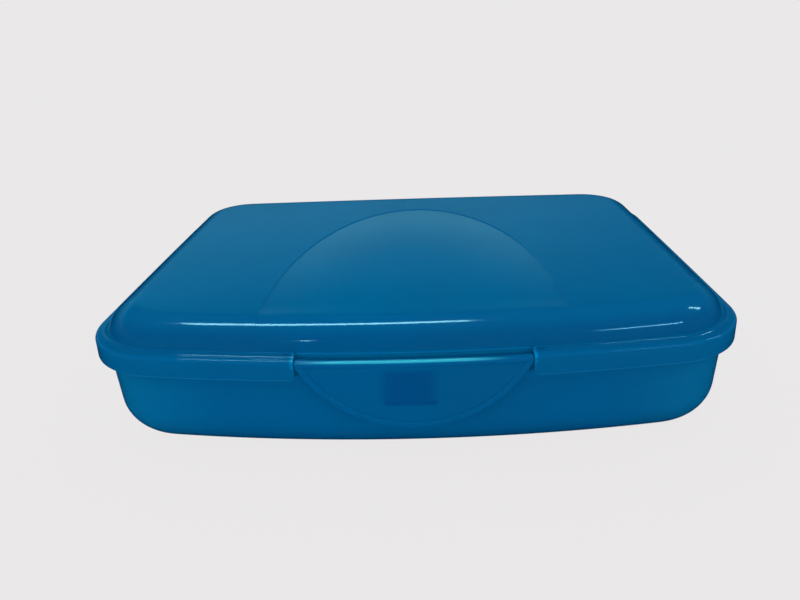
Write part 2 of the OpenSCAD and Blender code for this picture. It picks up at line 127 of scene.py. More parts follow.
FRONT_R = bow_radius(HALF_W, FRONT_BOW)
BACK_R = bow_radius(HALF_W, BACK_BOW)
SIDE_R = bow_radius(HALF_D, SIDE_BOW)
FRONT_CORNER = corner_centre(FRONT_R, FRONT_CORNER_R)
BACK_CORNER = corner_centre(BACK_R, BACK_CORNER_R)
print(f"radii: front {FRONT_R:.0f}, back {BACK_R:.0f}, sides {SIDE_R:.0f}")

# %% A quarter of the outline
SIDE_STEPS, CORNER_STEPS, END_STEPS = 6, 18, 22


def arc(cx, cy, r, a0, a1, steps):
    """Points of an arc from angle a0 to angle a1, in radians."""
    turns = [a0 + (a1 - a0) * i / steps for i in range(steps + 1)]
    return [(cx + r * cos(turn), cy + r * sin(turn)) for turn in turns]


def quarter(end_r, r, offset):
    """A quarter of the outline, from the middle of the side to the middle of the end."""
    cx, cy = corner_centre(end_r, r)
    middle_x, end_y = HALF_W - SIDE_R, HALF_D - end_r
    a_side = atan2(cy, cx - middle_x)
    a_end = atan2(cy - end_y, cx)
    side = arc(middle_x, 0, SIDE_R + offset, 0, a_side, SIDE_STEPS)
    corner = arc(cx, cy, r + offset, a_side, a_end, CORNER_STEPS)
    end = arc(0, end_y, end_r + offset, a_end, pi / 2, END_STEPS)
    return side[:-1] + corner[:-1] + end


print("points in a quarter:", len(quarter(FRONT_R, FRONT_CORNER_R, 0)))

# %% A whole level
LEDGE, SIDE_LEDGE, BACK_LEDGE = 3.8, 4.6, 7.0    # from rim to dome: front, sides, back


def pulled_in(value, extra, corner):
    """Moves a coordinate in by extra, in full only from the corner's centre outwards."""
    return value - extra * min(1, value / corner)


def ring(offset, dome_share, z):
    """One level of a shell, as points right round the box.

    The dome stands further in at the sides and the back than the rim does. The share is
    0 for the rim's outline and 1 for the dome's.
    """
    side = dome_share * (SIDE_LEDGE - LEDGE)
    back = dome_share * (BACK_LEDGE - LEDGE)
    rear = [(pulled_in(x, side, BACK_CORNER[0]), pulled_in(y, back, BACK_CORNER[1]))
            for x, y in quarter(BACK_R, BACK_CORNER_R, offset)]
    fore = [(pulled_in(x, side, FRONT_CORNER[0]), y)
            for x, y in quarter(FRONT_R, FRONT_CORNER_R, offset)]
    plan = rear + [(-x, y) for x, y in rear[-2:0:-1]]
    plan += [(-x, -y) for x, y in fore]
    plan += [(x, -y) for x, y in fore[-2:0:-1]]
    return [Vector((x, y + PLAN_Y, z)) for x, y in plan]


def front_y(x, offset=0.0):
    """The front outline at x, offset outwards."""
    return FRONT_R - HALF_D - sqrt((FRONT_R + offset) ** 2 - x * x) + PLAN_Y


def back_y(x, offset=0.0):
    return HALF_D - BACK_R + sqrt((BACK_R + offset) ** 2 - x * x) + PLAN_Y


def side_x(y, offset=0.0):
    return HALF_W - SIDE_R + sqrt((SIDE_R + offset) ** 2 - (y - PLAN_Y) ** 2)


print("points round the box:", len(ring(0, 0, 0)))

# %% [markdown]
# ## Helpers for modelling
# These are the few steps that come back for every piece: select it, work in edit mode,
# round its edges, join it to another or cut it. A boolean could be avoided by drawing
# every opening into the mesh, but the shells would then lose their even rings. So each
# form is drawn whole, and booleans join what is moulded in one piece and cut what is open.

# %% Selecting and edit mode
def start_clean():
    if bpy.context.object and bpy.context.object.mode != "OBJECT":
        bpy.ops.object.mode_set(mode="OBJECT")
    bpy.ops.object.select_all(action="DESELECT")


def make_active(obj):
    start_clean()
    obj.select_set(True)
    bpy.context.view_layer.objects.active = obj


def edit_all(obj):
    make_active(obj)
    bpy.ops.object.mode_set(mode="EDIT")
    bpy.ops.mesh.select_all(action="SELECT")


def close_edit():
    bpy.ops.mesh.select_all(action="SELECT")
    bpy.ops.mesh.normals_make_consistent(inside=False)
    bpy.ops.object.mode_set(mode="OBJECT")


print("helpers: start_clean, make_active, edit_all, close_edit")

# %% Finishing, joining and cutting
SMOOTH_BELOW, BEVEL_ABOVE = 35, 40    # degrees


def smooth(obj):
    make_active(obj)
    bpy.ops.object.shade_smooth_by_angle(angle=radians(SMOOTH_BELOW))


def apply_modifier(obj, kind, **settings):
    make_active(obj)
    modifier = obj.modifiers.new(kind.title(), kind)
    for key, value in settings.items():
        setattr(modifier, key, value)
    bpy.ops.object.modifier_apply(modifier=modifier.name)


def soften(obj, width, segments=3, degrees=BEVEL_ABOVE):
    """Rounds the edges that are sharper than the given angle. The width is in millimetres."""
    apply_modifier(obj, "BEVEL", width=width * MM, segments=segments, limit_method="ANGLE",
                   angle_limit=radians(degrees))


def combine(obj, other, operation):
    """Joins, cuts or intersects obj with other, and removes other."""
    apply_modifier(obj, "BOOLEAN", operation=operation, object=other, solver="EXACT")
    bpy.data.objects.remove(other)


def joined(parts, name):
    make_active(parts[0])
    for part in parts:
        part.select_set(True)
    bpy.ops.object.join()
    parts[0].name = name
    return parts[0]


print("smooth below", SMOOTH_BELOW, "degrees, bevelled above", BEVEL_ABOVE)

# %% [markdown]
# ## Shells, boards and rods
# Three forms make up the whole box. A shell starts as a circle whose points are set on
# the first level. Extruding that edge loop and setting the new loop on the next level,
# over and over, draws the wall's whole profile, outside and inside, and the two open ends
# are then filled. A cube with a subdivision surface would be quicker, but its corners
# wouldn't be true arcs. A board is a filled circle set on an outline and extruded once,
# and a rod is a cylinder with rounded ends.

# %% A shell
def extruded_from(bm, index):
    """The new point at the far end of the edge that an extrusion drew from a point."""
    vert = bm.verts[index]
    ends = [edge.other_vert(vert) for edge in vert.link_edges]
    return next(end.index for end in ends if end.select)


def loft(name, rows):
    """A closed shell through rows of points that all have the same count."""
    start_clean()
    bpy.ops.mesh.primitive_circle_add(vertices=len(rows[0]), enter_editmode=True)
    obj = bpy.context.object
    obj.name = name
    loop = list(range(len(rows[0])))
    for i, row in enumerate(rows):
        if i:    # the circle itself is the first row
            bpy.ops.mesh.extrude_region_move()
        bm = bmesh.from_edit_mesh(obj.data)
        bm.verts.ensure_lookup_table()
        if i:
            loop = [extruded_from(bm, j) for j in loop]
        for j, point in zip(loop, row):
            bm.verts[j].co = point * MM
        bmesh.update_edit_mesh(obj.data)
    bpy.ops.mesh.select_all(action="SELECT")
    bpy.ops.mesh.fill_holes(sides=0)
    close_edit()
    return obj


def angles(first, last, step):
    """Angles in radians for a round. The three numbers are whole degrees."""
    beyond = last + (1 if step > 0 else -1)
    return [radians(degrees) for degrees in range(first, beyond, step)]


print("steps round a quarter turn:", len(angles(0, 90, 5)) - 1)

# %% A board and a rod
ROD_SIDES = 48


def board(name, outline, axis, low, high):
    """A flat part: an outline in the plane across axis, extruded from low to high."""
    start_clean()
    bpy.ops.mesh.primitive_circle_add(vertices=len(outline), fill_type="NGON", enter_editmode=True)
    obj = bpy.context.object
    obj.name = name
    bm = bmesh.from_edit_mesh(obj.data)
    for vert, (a, b) in zip(bm.verts, outline):
        place = {"x": (low, a, b), "y": (a, low, b), "z": (a, b, low)}[axis]
        vert.co = Vector(place) * MM
    bmesh.update_edit_mesh(obj.data)
    step = Vector([(high - low) * MM if axis == letter else 0 for letter in "xyz"])
    bpy.ops.mesh.extrude_region_move(TRANSFORM_OT_translate={"value": step})
    close_edit()
    return obj


def rod(name, x0, x1, y, z, r, round_r=0.0):
    """A round bar along X."""
    start_clean()
    middle = Vector(((x0 + x1) / 2, y, z)) * MM
    bpy.ops.mesh.primitive_cylinder_add(vertices=ROD_SIDES, radius=r * MM, depth=(x1 - x0) * MM,
                                        location=middle, rotation=(0, pi / 2, 0))
    obj = bpy.context.object
    obj.name = name
    bpy.ops.object.transform_apply()
    if round_r:
        soften(obj, round_r)
    return obj


def points_round(cx, cz, r, a0, a1, steps):
    """Points of an arc, with its angles in degrees."""
    return arc(cx, cz, r, radians(a0), radians(a1), steps)


print("a rod has", ROD_SIDES, "sides")

# %% [markdown]
# ## The tub
# The tub's wall leans out a little from a big round at the bottom to a flat lip at the
# rim. It stands on a narrow ring, so the panel inside that ring is 0.8 mm higher. An open
# sheet with a Solidify modifier would give one even wall, but no lip and no ring. So the
# profile is one closed line: from the middle of the underside, up the outside, over the
# rim and down to the floor inside.

# %% Sizes of the tub
TUB_WALL, TUB_INSET, TUB_DRAFT, TUB_FILLET = 2.0, 3.6, 2.5, 14.0
INNER_FILLET = TUB_FILLET - TUB_WALL
FOOT_RING_W, FOOT_RECESS, FOOT_EDGE_R, FOOT_BEVEL, FOOT_FLAT = 4.0, 0.8, 0.4, 0.1, 1.0
LIP_OUT, LIP_T, LIP_R, LIP_BEVEL = 1.6, 1.6, 0.5, 0.2
OUTER_LEVELS, INNER_LEVELS = (18, 24, 30), (30, 22, 17)    # extra rows on the plain wall
FLOOR_Z = FOOT_RECESS + TUB_WALL


def tub_offset(z):
    """Where the tub's outside lies from the outline at a height."""
    return -TUB_INSET - TUB_DRAFT * (1 - z / SEAM_Z)


def tub_inner(z):
    return tub_offset(z) - TUB_WALL


print("floor inside at", FLOOR_Z, "and wall of", TUB_WALL)

# %% Profile of the tub
def underside():
    """The raised panel and the ring round it."""
    foot = tub_offset(0) - TUB_FILLET
    panel = foot - FOOT_RING_W
    return [(panel - FOOT_RECESS - FOOT_EDGE_R, FOOT_RECESS),
            (panel - FOOT_RECESS + FOOT_BEVEL, FOOT_RECESS - FOOT_BEVEL),
            (panel - FOOT_EDGE_R, FOOT_EDGE_R), (panel, 0), (foot - FOOT_FLAT, 0)]


def tub_outside():
    lip, lip_z = -TUB_INSET + LIP_OUT, RIM_Z - LIP_T
    rows = []
    for t in angles(0, 90, 5):
        z = TUB_FILLET * (1 - cos(t))
        rows.append((tub_offset(z) - TUB_FILLET * (1 - sin(t)), z))
    rows += [(tub_offset(z), z) for z in (*OUTER_LEVELS, lip_z - LIP_OUT - 2 * LIP_BEVEL)]
    rows += [(tub_offset(lip_z) + LIP_BEVEL, lip_z - LIP_OUT + LIP_BEVEL),
             (lip - LIP_BEVEL, lip_z - LIP_BEVEL), (lip, lip_z + LIP_BEVEL), (lip, RIM_Z - LIP_R)]
    rows += [(lip - LIP_R * (1 - cos(t)), RIM_Z - LIP_R * (1 - sin(t))) for t in angles(30, 90, 30)]
    return rows


def tub_inside():
    edge = tub_inner(RIM_Z)
    rows = [(edge + LIP_R * (1 - cos(t)), RIM_Z - LIP_R * (1 - sin(t))) for t in angles(90, 0, -30)]
    rows += [(tub_inner(z), z) for z in INNER_LEVELS]
    for t in angles(90, 0, -5):
        z = FLOOR_Z + INNER_FILLET * (1 - cos(t))
        rows.append((tub_inner(z) - INNER_FILLET * (1 - sin(t)), z))
    return rows


profile = underside() + tub_outside() + tub_inside()
tub = loft("tub", [ring(offset, 0, z) for offset, z in profile])
print("tub:", len(tub.data.polygons), "faces")

# %% [markdown]
# ## What is moulded with the tub
# Ribs inside the walls and on the floor hold the dividers upright, and a catch on the
# front wall holds the clip's hook. Two pairs of ears at the back hold the hinge pins.
# They could stay separate objects that only touch the tub, but a seam would show where
# they meet. So they are modelled as boards with rounded edges, sunk a little into the
# wall, and joined to it.

# %% Guide ribs and floor ribs
DIVIDER_T, DIVIDER_X, DIVIDER_Y, DIVIDER_GAP = 1.6, 18.5, PLAN_Y, 0.25
SLOT_HALF = DIVIDER_T / 2 + DIVIDER_GAP
CROSS_START_X = DIVIDER_X + DIVIDER_T / 2 + DIVIDER_GAP    # where the cross divider starts
GUIDE_OUT, GUIDE_W, GUIDE_ROUND = 2.2, 1.6, 0.35
GUIDE_TOP = SEAM_Z - 3
GUIDE_LOW = FLOOR_Z + 0.4 * INNER_FILLET
GUIDE_NOSE_IN, GUIDE_NOSE_UP, GUIDE_NOSE_DOWN = 0.8, 0.5, 0.6
FLOOR_RIB_L, FLOOR_RIB_H, FLOOR_RIB_END_H, FLOOR_RIB_SLOPE = 12.0, 7.0, 3, 4
SEAT = 0.6    # how deep a joined form is sunk into what carries it


def guide_outline(top, low, inward):
    """A rib in section: sunk in the wall, with a sloped top."""
    return [(top - inward * SEAT / 2, GUIDE_TOP),
            (top + inward * (GUIDE_OUT - GUIDE_NOSE_IN), GUIDE_TOP - GUIDE_OUT + GUIDE_NOSE_UP),
            (top + inward * GUIDE_OUT, GUIDE_TOP - GUIDE_OUT - GUIDE_NOSE_DOWN),
            (low + inward * GUIDE_OUT, GUIDE_LOW), (low - inward * SEAT / 2, GUIDE_LOW)]


def guide(wall, at, inward, axis):
    """A rib on a wall. The wall is the function that gives its place at an offset."""
    outline = guide_outline(wall(at, tub_inner(GUIDE_TOP)), wall(at, tub_inner(GUIDE_LOW)), inward)
    return board("rib", outline, axis, at - GUIDE_W / 2, at + GUIDE_W / 2)


def floor_rib(y):
    end = CROSS_START_X + FLOOR_RIB_L
    outline = [(CROSS_START_X, FLOOR_Z - SEAT), (end, FLOOR_Z - SEAT),
               (end, FLOOR_Z + FLOOR_RIB_END_H), (end - FLOOR_RIB_SLOPE, FLOOR_Z + FLOOR_RIB_H),
               (CROSS_START_X, FLOOR_Z + FLOOR_RIB_H)]
    return board("rib", outline, "y", y - GUIDE_W / 2, y + GUIDE_W / 2)


def guide_ribs():
    ribs = []
    for s in (-1, 1):
        x = DIVIDER_X + s * (SLOT_HALF + GUIDE_W / 2)
        y = DIVIDER_Y + s * (SLOT_HALF + GUIDE_W / 2)
        ribs += [guide(front_y, x, 1, "x"), guide(back_y, x, -1, "x"), guide(side_x, y, -1, "y"),
                 floor_rib(y)]
    for rib in ribs:
        soften(rib, GUIDE_ROUND)
    return ribs


print(f"slots of {2 * SLOT_HALF:.1f} for dividers of {DIVIDER_T}")

# %% Catch
CATCH_W, CATCH_Z, CATCH_H, CATCH_FLARE, CATCH_IN, CATCH_ROUND = 18.0, 21.0, 14.0, 3.0, 3.5, 0.3


def catch_block():
    half, top = CATCH_W / 2, CATCH_Z + CATCH_H
    outline = [(-half, CATCH_Z), (half, CATCH_Z), (half, top - CATCH_FLARE),
               (half + CATCH_FLARE, top), (-half - CATCH_FLARE, top), (-half, top - CATCH_FLARE)]
    face, wall = front_y(0, -CATCH_IN), front_y(0, tub_offset(CATCH_Z))
    block = board("catch", outline, "y", face, wall + SEAT)
    soften(block, CATCH_ROUND)
    return block


print("catch from z", CATCH_Z, "to", CATCH_Z + CATCH_H)

# %% Hinge ears
HINGE_X, KNUCKLE_R, KNUCKLE_W, KNUCKLE_GAP = 60.0, 3.0, 14.0, 0.4
EAR_W, EAR_DROP, EAR_ROUND = 4.0, 9.0, 0.3
EAR_ARC = (-60, 198, 28)    # the barrel's first and last angle, and its steps
EAR_SPAN = KNUCKLE_W / 2 + KNUCKLE_GAP + EAR_W


def hinge_ear(x):
    low, top = SKIRT_Z - EAR_DROP, SKIRT_Z - KNUCKLE_GAP
    wall_top = back_y(HINGE_X, tub_offset(top)) - SEAT
    wall_low = back_y(HINGE_X, tub_offset(low)) - SEAT
    barrel = points_round(HINGE_Y, HINGE_Z, KNUCKLE_R, *EAR_ARC)
    outline = [(wall_low, low)] + barrel + [(wall_top, top)]
    ear = board("ear", outline, "x", x - EAR_W / 2, x + EAR_W / 2)
    soften(ear, EAR_ROUND)
    return ear


reach = (KNUCKLE_W + EAR_W) / 2 + KNUCKLE_GAP
ears = [hinge_ear(side * HINGE_X + end * reach) for side in (-1, 1) for end in (-1, 1)]
print("ears:", len(ears))

# %% [markdown]
# ## Cut and join the tub
# The real lip stops at both sides of the clip, where the lid's lugs hang down in front of
# the wall, and the ears are bored for the hinge pins. The cut follows the bow of the
# front, so its tool is a board with that bow as its back edge and not a plain block.

# %% Tools that follow the front
CLIP_HALF, LUG_W = 39.0, 3.6
GAP_HALF = CLIP_HALF + KNUCKLE_GAP    # half the gap in the lid's skirt
WINDOW_HALF = GAP_HALF + LUG_W
AHEAD_Y = FRONT_Y - 3                 # a cutting tool reaches out to here
PAST = 1                              # and passes the surface that it cuts by this
BOW_STEPS = 40


def along_front(half, offset):
    """Points of the front outline from x = -half to x = half."""
    places = [half * (2 * i / BOW_STEPS - 1) for i in range(BOW_STEPS + 1)]
    return [(x, front_y(x, offset)) for x in places]


def front_slab(name, half, offset, z0, z1):
    """All that lies in front of the front outline, for cutting."""
    outline = along_front(half, offset) + [(half, AHEAD_Y), (-half, AHEAD_Y)]
    return board(name, outline, "z", z0, z1)


def front_shell(name, half, outer, inner, z0, z1):
    """A wall that follows the front outline between two offsets."""
    outline = along_front(half, inner) + along_front(half, outer)[::-1]
    return board(name, outline, "z", z0, z1)


print(f"the gap for the clip is {2 * GAP_HALF:.1f} wide")

# %% Cut the lip, join what is moulded on and bore the ears
LIP_BACK, LIP_RELIEF = 30.0, 0.6
HINGE_PIN_R, RUNNING_GAP = 1.25, 0.05

relief = front_slab("cut", WINDOW_HALF + LIP_BACK, -TUB_INSET - LIP_RELIEF,
                    RIM_Z - LIP_T - 2 * LIP_OUT, SEAM_Z + PAST)
combine(tub, relief, "DIFFERENCE")
combine(tub, joined(guide_ribs() + [catch_block()] + ears, "added"), "UNION")
bores = [rod("bore", side * HINGE_X - EAR_SPAN - PAST, side * HINGE_X + EAR_SPAN + PAST,
             HINGE_Y, HINGE_Z, HINGE_PIN_R) for side in (-1, 1)]
combine(tub, joined(bores, "bores"), "DIFFERENCE")
smooth(tub)
print("tub with its details:", len(tub.data.polygons), "faces")

# %% [markdown]
# ## The lid
# The lid is one moulding: a dome, a narrow ledge round it, and a flange with a skirt that
# hangs over the tub's rim. Like the tub it is one closed profile: from under the dome out
# along the flange, down the skirt and back up outside over the round edge, the ledge, a
# hollow round, the leaning wall and the big round of the top. The top could be one flat
# face, but the arched panel dips into it and a dip needs points to follow. So it is laid
# out in rings that shrink towards the middle.

# %% Sizes of the lid
LID_WALL, SKIRT_WALL, EDGE_R, SKIRT_EDGE_R, INNER_BEVEL = 2.0, 1.6, 1.2, 0.6, 0.3
DOME_DRAFT, DOME_FILLET, DOME_FOOT_R = 4.5, 7.0, 1.8
DOME_H = TOTAL_H - FLANGE_Z
WALL_START_Z = 41.4    # the straight wall starts here, above the hollow round
TOP_RINGS = 34


def dome_offset(z):
    """Where the dome's leaning wall lies from the outline at a height."""
    return -LEDGE - DOME_DRAFT * (z - FLANGE_Z) / DOME_H


def dome_round(t):
    """Offset and height on the big round, from the wall at 0 to the flat top at 90 degrees."""
    z = TOTAL_H - DOME_FILLET * (1 - sin(t))
    return dome_offset(z) - DOME_FILLET * (1 - cos(t)), z


print("dome:", DOME_H, "high, leaning in by", DOME_DRAFT)

# %% Profile of the lid
def outer_rows():
    """The outside, from the flange's edge to the edge of the flat top."""
    rows = [(-EDGE_R * (1 - cos(t)), 0, FLANGE_Z - EDGE_R * (1 - sin(t)))
            for t in angles(0, 90, 15)]
    foot = dome_offset(FLANGE_Z)
    for degrees in range(0, 76, 15):
        t = radians(degrees)
        dome_share = (degrees + 30) / 120    # the rim's outline turns into the dome's
        rows.append((foot + DOME_FOOT_R * (1 - sin(t)), dome_share,
                     FLANGE_Z + DOME_FOOT_R * (1 - cos(t))))
    rows.append((dome_offset(WALL_START_Z), 1, WALL_START_Z))
    for t in angles(0, 90, 5):
        offset, z = dome_round(t)
        rows.append((offset, 1, z))
    return rows


def inner_rows():
    """The inside and the skirt, from the top's underside to the skirt's outside."""
    inner_r, top = DOME_FILLET - LID_WALL, TOTAL_H - LID_WALL
    rows = []
    for t in angles(90, 0, -6):
        z = top - inner_r * (1 - sin(t))
        rows.append((dome_offset(z) - LID_WALL - inner_r * (1 - cos(t)), 1, z))
    under = dome_offset(FLANGE_Z) - LID_WALL
    rows += [(under, 1, SEAM_Z + INNER_BEVEL), (under + INNER_BEVEL, 1, SEAM_Z),
             (-SKIRT_WALL - INNER_BEVEL, 0, SEAM_Z), (-SKIRT_WALL, 0, SEAM_Z - INNER_BEVEL),
             (-SKIRT_WALL, 0, SKIRT_Z + SKIRT_EDGE_R)]
    rows += [(-SKIRT_WALL + SKIRT_EDGE_R * (1 - cos(t)), 0, SKIRT_Z + SKIRT_EDGE_R * (1 - sin(t)))
             for t in angles(60, 90, 30)]
    rows += [(-SKIRT_EDGE_R * (1 - cos(t)), 0, SKIRT_Z + SKIRT_EDGE_R * (1 - sin(t)))
             for t in angles(90, 0, -30)]
    return rows


def flat_rings(edge):
    """Rings that shrink from the edge of the flat top towards its middle."""
    middle = Vector((0, PLAN_Y, edge[0].z))
    shares = [1 - i / TOP_RINGS for i in range(1, TOP_RINGS)]
    return [[middle + (point - middle) * share for point in edge] for share in shares]


levels = [ring(*row) for row in inner_rows() + outer_rows()]
lid = loft("lid", levels + flat_rings(levels[-1]))
print("lid:", len(lid.data.polygons), "faces")

# %% [markdown]
# ## The arched panel
# A large arch runs over the top and straight down the dome's front. Inside it the surface
# lies lower by a small step, 0.4 mm on the top and a third of that on the front wall. It
# rises gently again towards the middle. A displacement map could do that, but it would
# blur the step, which has to be crisp to catch the light. So a copy of the lid's outside
# is pressed in by that depth, and the lid is cut down to it inside the arch.

# %% Outline and depth of the arch
ARCH_HALF_W, ARCH_STRAIGHT_Y, ARCH_REACH = 53.0, -68.0 + PLAN_Y, 122.0
ARCH_DEPTH, ARCH_FRONT = 0.4, 0.3    # at the step on the top, and its share on the front wall
ARCH_LEVEL, ARCH_FADE = 0.1, 20.0    # the share that it fades to, and how far in that takes
FRONT_START, FRONT_FULL = -80.0 + PLAN_Y, -68.0 + PLAN_Y
ARCH_STEPS = 96


def arch_line(extra=0.0):
    """The arch seen from above, wider and longer by extra, and open to the front."""
    half, reach_y = ARCH_HALF_W + extra, ARCH_REACH + extra
    turns = [pi * i / ARCH_STEPS for i in range(ARCH_STEPS + 1)]
    curve = [(half * cos(turn), ARCH_STRAIGHT_Y + reach_y * sin(turn)) for turn in turns]
    return [(-half, AHEAD_Y), (half, AHEAD_Y)] + curve


arch_points = arch_line()[2:]


def arch_depth(x, y):
    """Depth of the panel at a place: most at the arch's edge, and fading inwards."""
    if y < ARCH_STRAIGHT_Y:
        inside = ARCH_HALF_W - abs(x)
    else:
        inside = min(hypot(x - px, y - py) for px, py in arch_points)
        if hypot(x / ARCH_HALF_W, (y - ARCH_STRAIGHT_Y) / ARCH_REACH) > 1:
            inside = 0.0
    depth = ARCH_DEPTH * (ARCH_LEVEL + (1 - ARCH_LEVEL) * exp(-max(inside, 0.0) / ARCH_FADE))
    back = min(max((y - FRONT_START) / (FRONT_FULL - FRONT_START), 0.0), 1.0)
    return depth * (ARCH_FRONT + (1 - ARCH_FRONT) * back * back * (3 - 2 * back))


print(f"depth at the arch's far end: {arch_depth(0, ARCH_STRAIGHT_Y + ARCH_REACH):.2f}")

# %% Press the arch in
ARCH_BANK = 0.38    # how far the step's bank leans outwards over its height
ARCH_FOOT_Z, FOOT_PROUD, FOOT_CLEAR = FLANGE_Z + DOME_FOOT_R + 0.1, 0.03, 0.4


def moved_in(offset, z, t, depth_at):
    """A ring of the dome's outside, moved in along its normals by depth_at(x, y)."""
    outer = ring(offset, 1, z)
    inner = ring(offset - cos(t), 1, z - sin(t))
    return [p + (q - p) * depth_at(p.x, p.y) for p, q in zip(outer, inner)]


def sunk_rows():
    """The dome's outside with the panel's depth, and a little proud below the arch."""
    rows = [moved_in(dome_offset(z), z, 0, lambda x, y: -FOOT_PROUD)
            for z in (FLANGE_Z, ARCH_FOOT_Z + FOOT_CLEAR)]
    rows += [moved_in(*dome_round(t), t, arch_depth) for t in angles(0, 90, 5)]
    return rows


flat = [[p - Vector((0, 0, arch_depth(p.x, p.y))) for p in level]
        for level in flat_rings(levels[-1])]
sunk = loft("sunk", sunk_rows() + flat)
bank = ((ARCH_FOOT_Z, 0), (TOTAL_H - ARCH_DEPTH, 0), (TOTAL_H, ARCH_BANK), (TOTAL_H + 1, ARCH_BANK))
cutter = loft("arch", [[Vector((x, y, z)) for x, y in arch_line(extra)] for z, extra in bank])
combine(cutter, sunk, "DIFFERENCE")
combine(lid, cutter, "DIFFERENCE")
print("lid with its arch:", len(lid.data.polygons), "faces")

# %% [markdown]
# ## Gap, pocket, lugs and knuckles of the lid
# At the front, the skirt stops at both sides of the clip, with rounded lower corners. A
# lug hangs at each side and holds the clip's pin. A pocket behind the clip leaves room
# for its top edge to turn, and a fine rib along the pocket's wall stiffens it. At the
# back, two knuckles reach round the hinge pins. A cutter for all of it could be one
# shape, but simple tools that each do one thing are easier to check and to change.

# %% Corners of the gap
GAP_CORNER_R, GAP_CORNER_STEPS, SKIRT_CUT_IN = 3.0, 10, 12


def skirt_corner(s):
    """What rounds the skirt's lower corner at one side of the clip."""
    cx, cz = s * (GAP_HALF + GAP_CORNER_R), SKIRT_Z + GAP_CORNER_R
    first, last = (180, 270) if s > 0 else (0, -90)
    curve = points_round(cx, cz, GAP_CORNER_R, first, last, GAP_CORNER_STEPS)
    low, beside = SKIRT_Z - PAST, s * (GAP_HALF - PAST)
    outline = curve + [(cx, low), (beside, low), (beside, cz)]
    return board("corner", outline, "y", FRONT_Y - PAST, FRONT_Y + SKIRT_CUT_IN)


def on_side(s, near, far):
    """The x range, in rising order, of what lies from near to far on one side."""
    return sorted((s * near, s * far))


combine(lid, joined([skirt_corner(s) for s in (-1, 1)], "corners"), "DIFFERENCE")
print("lid with its gap's corners:", len(lid.data.polygons), "faces")

# %% Pad behind the pocket
BEAD_R, POCKET_GAP, PAD_WALL = 1.5, 0.4, 1.6
BEAD_AHEAD = CLIP_PIN_Y - front_y(0, -BEAD_R)    # the bead's middle, in front of the pins
POCKET_OFFSET = -(CLIP_PIN_Y - FRONT_Y) - BEAD_R - POCKET_GAP
POCKET_TOP = CLIP_PIN_Z + BEAD_AHEAD + BEAD_R + POCKET_GAP

pad_offset = POCKET_OFFSET - PAD_WALL
pad_top = FLANGE_Z + DOME_H * (-pad_offset - LEDGE - LID_WALL) / DOME_DRAFT
pad = front_shell("pad", WINDOW_HALF, POCKET_OFFSET + PAD_WALL, pad_offset,
                  SEAM_Z + INNER_BEVEL, pad_top)
combine(lid, pad, "UNION")
print(f"pocket: {-POCKET_OFFSET:.1f} deep, up to z {POCKET_TOP:.1f}")

# %% Lugs and hinge knuckles
LUG_Z = CLIP_PIN_Z - 2.3
LUG_IN, LUG_BEVEL, LUG_FRONT_RISE, LUG_BACK_RISE, LUG_ROUND = 0.6, 0.6, 1, 0.8, 0.2
KNUCKLE_IN, KNUCKLE_ROUND = 0.6, 0.3
KNUCKLE_ARC = (-127, 53, 22)                            # first and last angle, and steps
KNUCKLE_SHOULDER = ((2.2, -1.4), (1.2, 0.0), (0, 0))    # from the wall and the top


def lug(s):
    front = front_y(GAP_HALF, 0) + LUG_IN
    back = front_y(GAP_HALF, -TUB_INSET + SEAM_GAP)
    top = SEAM_Z + INNER_BEVEL
    outline = [(front, LUG_Z + LUG_FRONT_RISE), (front + LUG_BEVEL, LUG_Z),
               (back - LUG_BEVEL, LUG_Z), (back, LUG_Z + LUG_BACK_RISE), (back, top), (front, top)]
    part = board("lug", outline, "x", *on_side(s, GAP_HALF, WINDOW_HALF))
    soften(part, LUG_ROUND)
    return part


def lid_knuckle(s):
    face, high = back_y(HINGE_X, 0) - SEAT, FLANGE_Z - KNUCKLE_IN
    barrel = points_round(HINGE_Y, HINGE_Z, KNUCKLE_R, *KNUCKLE_ARC)
    shoulder = [(face + out, high + up) for out, up in KNUCKLE_SHOULDER]
    outline = [(face, SKIRT_Z + KNUCKLE_IN)] + barrel + shoulder
    part = board("knuckle", outline, "x", s * HINGE_X - KNUCKLE_W / 2, s * HINGE_X + KNUCKLE_W / 2)
    soften(part, KNUCKLE_ROUND)
    return part


hanging = [lug(s) for s in (-1, 1)] + [lid_knuckle(s) for s in (-1, 1)]
combine(lid, joined(hanging, "added"), "UNION")
print("lid with lugs and knuckles:", len(lid.data.polygons), "faces")

# %% Cut the pocket, add its rib and bore the knuckles
POCKET_RIB_OUT, POCKET_RIB_LOW, POCKET_RIB_HIGH = 0.4, 40.1, 40.8
POCKET_RIB_PAST, POCKET_RIB_ROUND = 0.3, 0.18

pocket = front_slab("pocket", GAP_HALF, POCKET_OFFSET, SKIRT_Z - PAST, POCKET_TOP)
combine(lid, pocket, "DIFFERENCE")
pocket_rib = front_shell("pocket_rib", GAP_HALF + POCKET_RIB_PAST, POCKET_OFFSET + POCKET_RIB_OUT,
                         POCKET_OFFSET - SEAT, POCKET_RIB_LOW, POCKET_RIB_HIGH)
soften(pocket_rib, POCKET_RIB_ROUND)
combine(lid, pocket_rib, "UNION")
bores = [rod("bore", s * HINGE_X - KNUCKLE_W, s * HINGE_X + KNUCKLE_W, HINGE_Y, HINGE_Z,
             HINGE_PIN_R + RUNNING_GAP) for s in (-1, 1)]
combine(lid, joined(bores, "bores"), "DIFFERENCE")
smooth(lid)
print("lid with its details:", len(lid.data.polygons), "faces")

# %% [markdown]
# ## The clip
# The clip is a thin plate with a straight top and a lower edge on one large arc. A
# thicker rim runs along the arc and a bead along the top. The plate could be cut out of
# a curved wall, but its rim would then be hard to round evenly. So plate and rim are
# modelled flat, as two boards, joined, and then laid on the bow of the front: the flat
# shape is first cut into narrow strips so that it can bend.

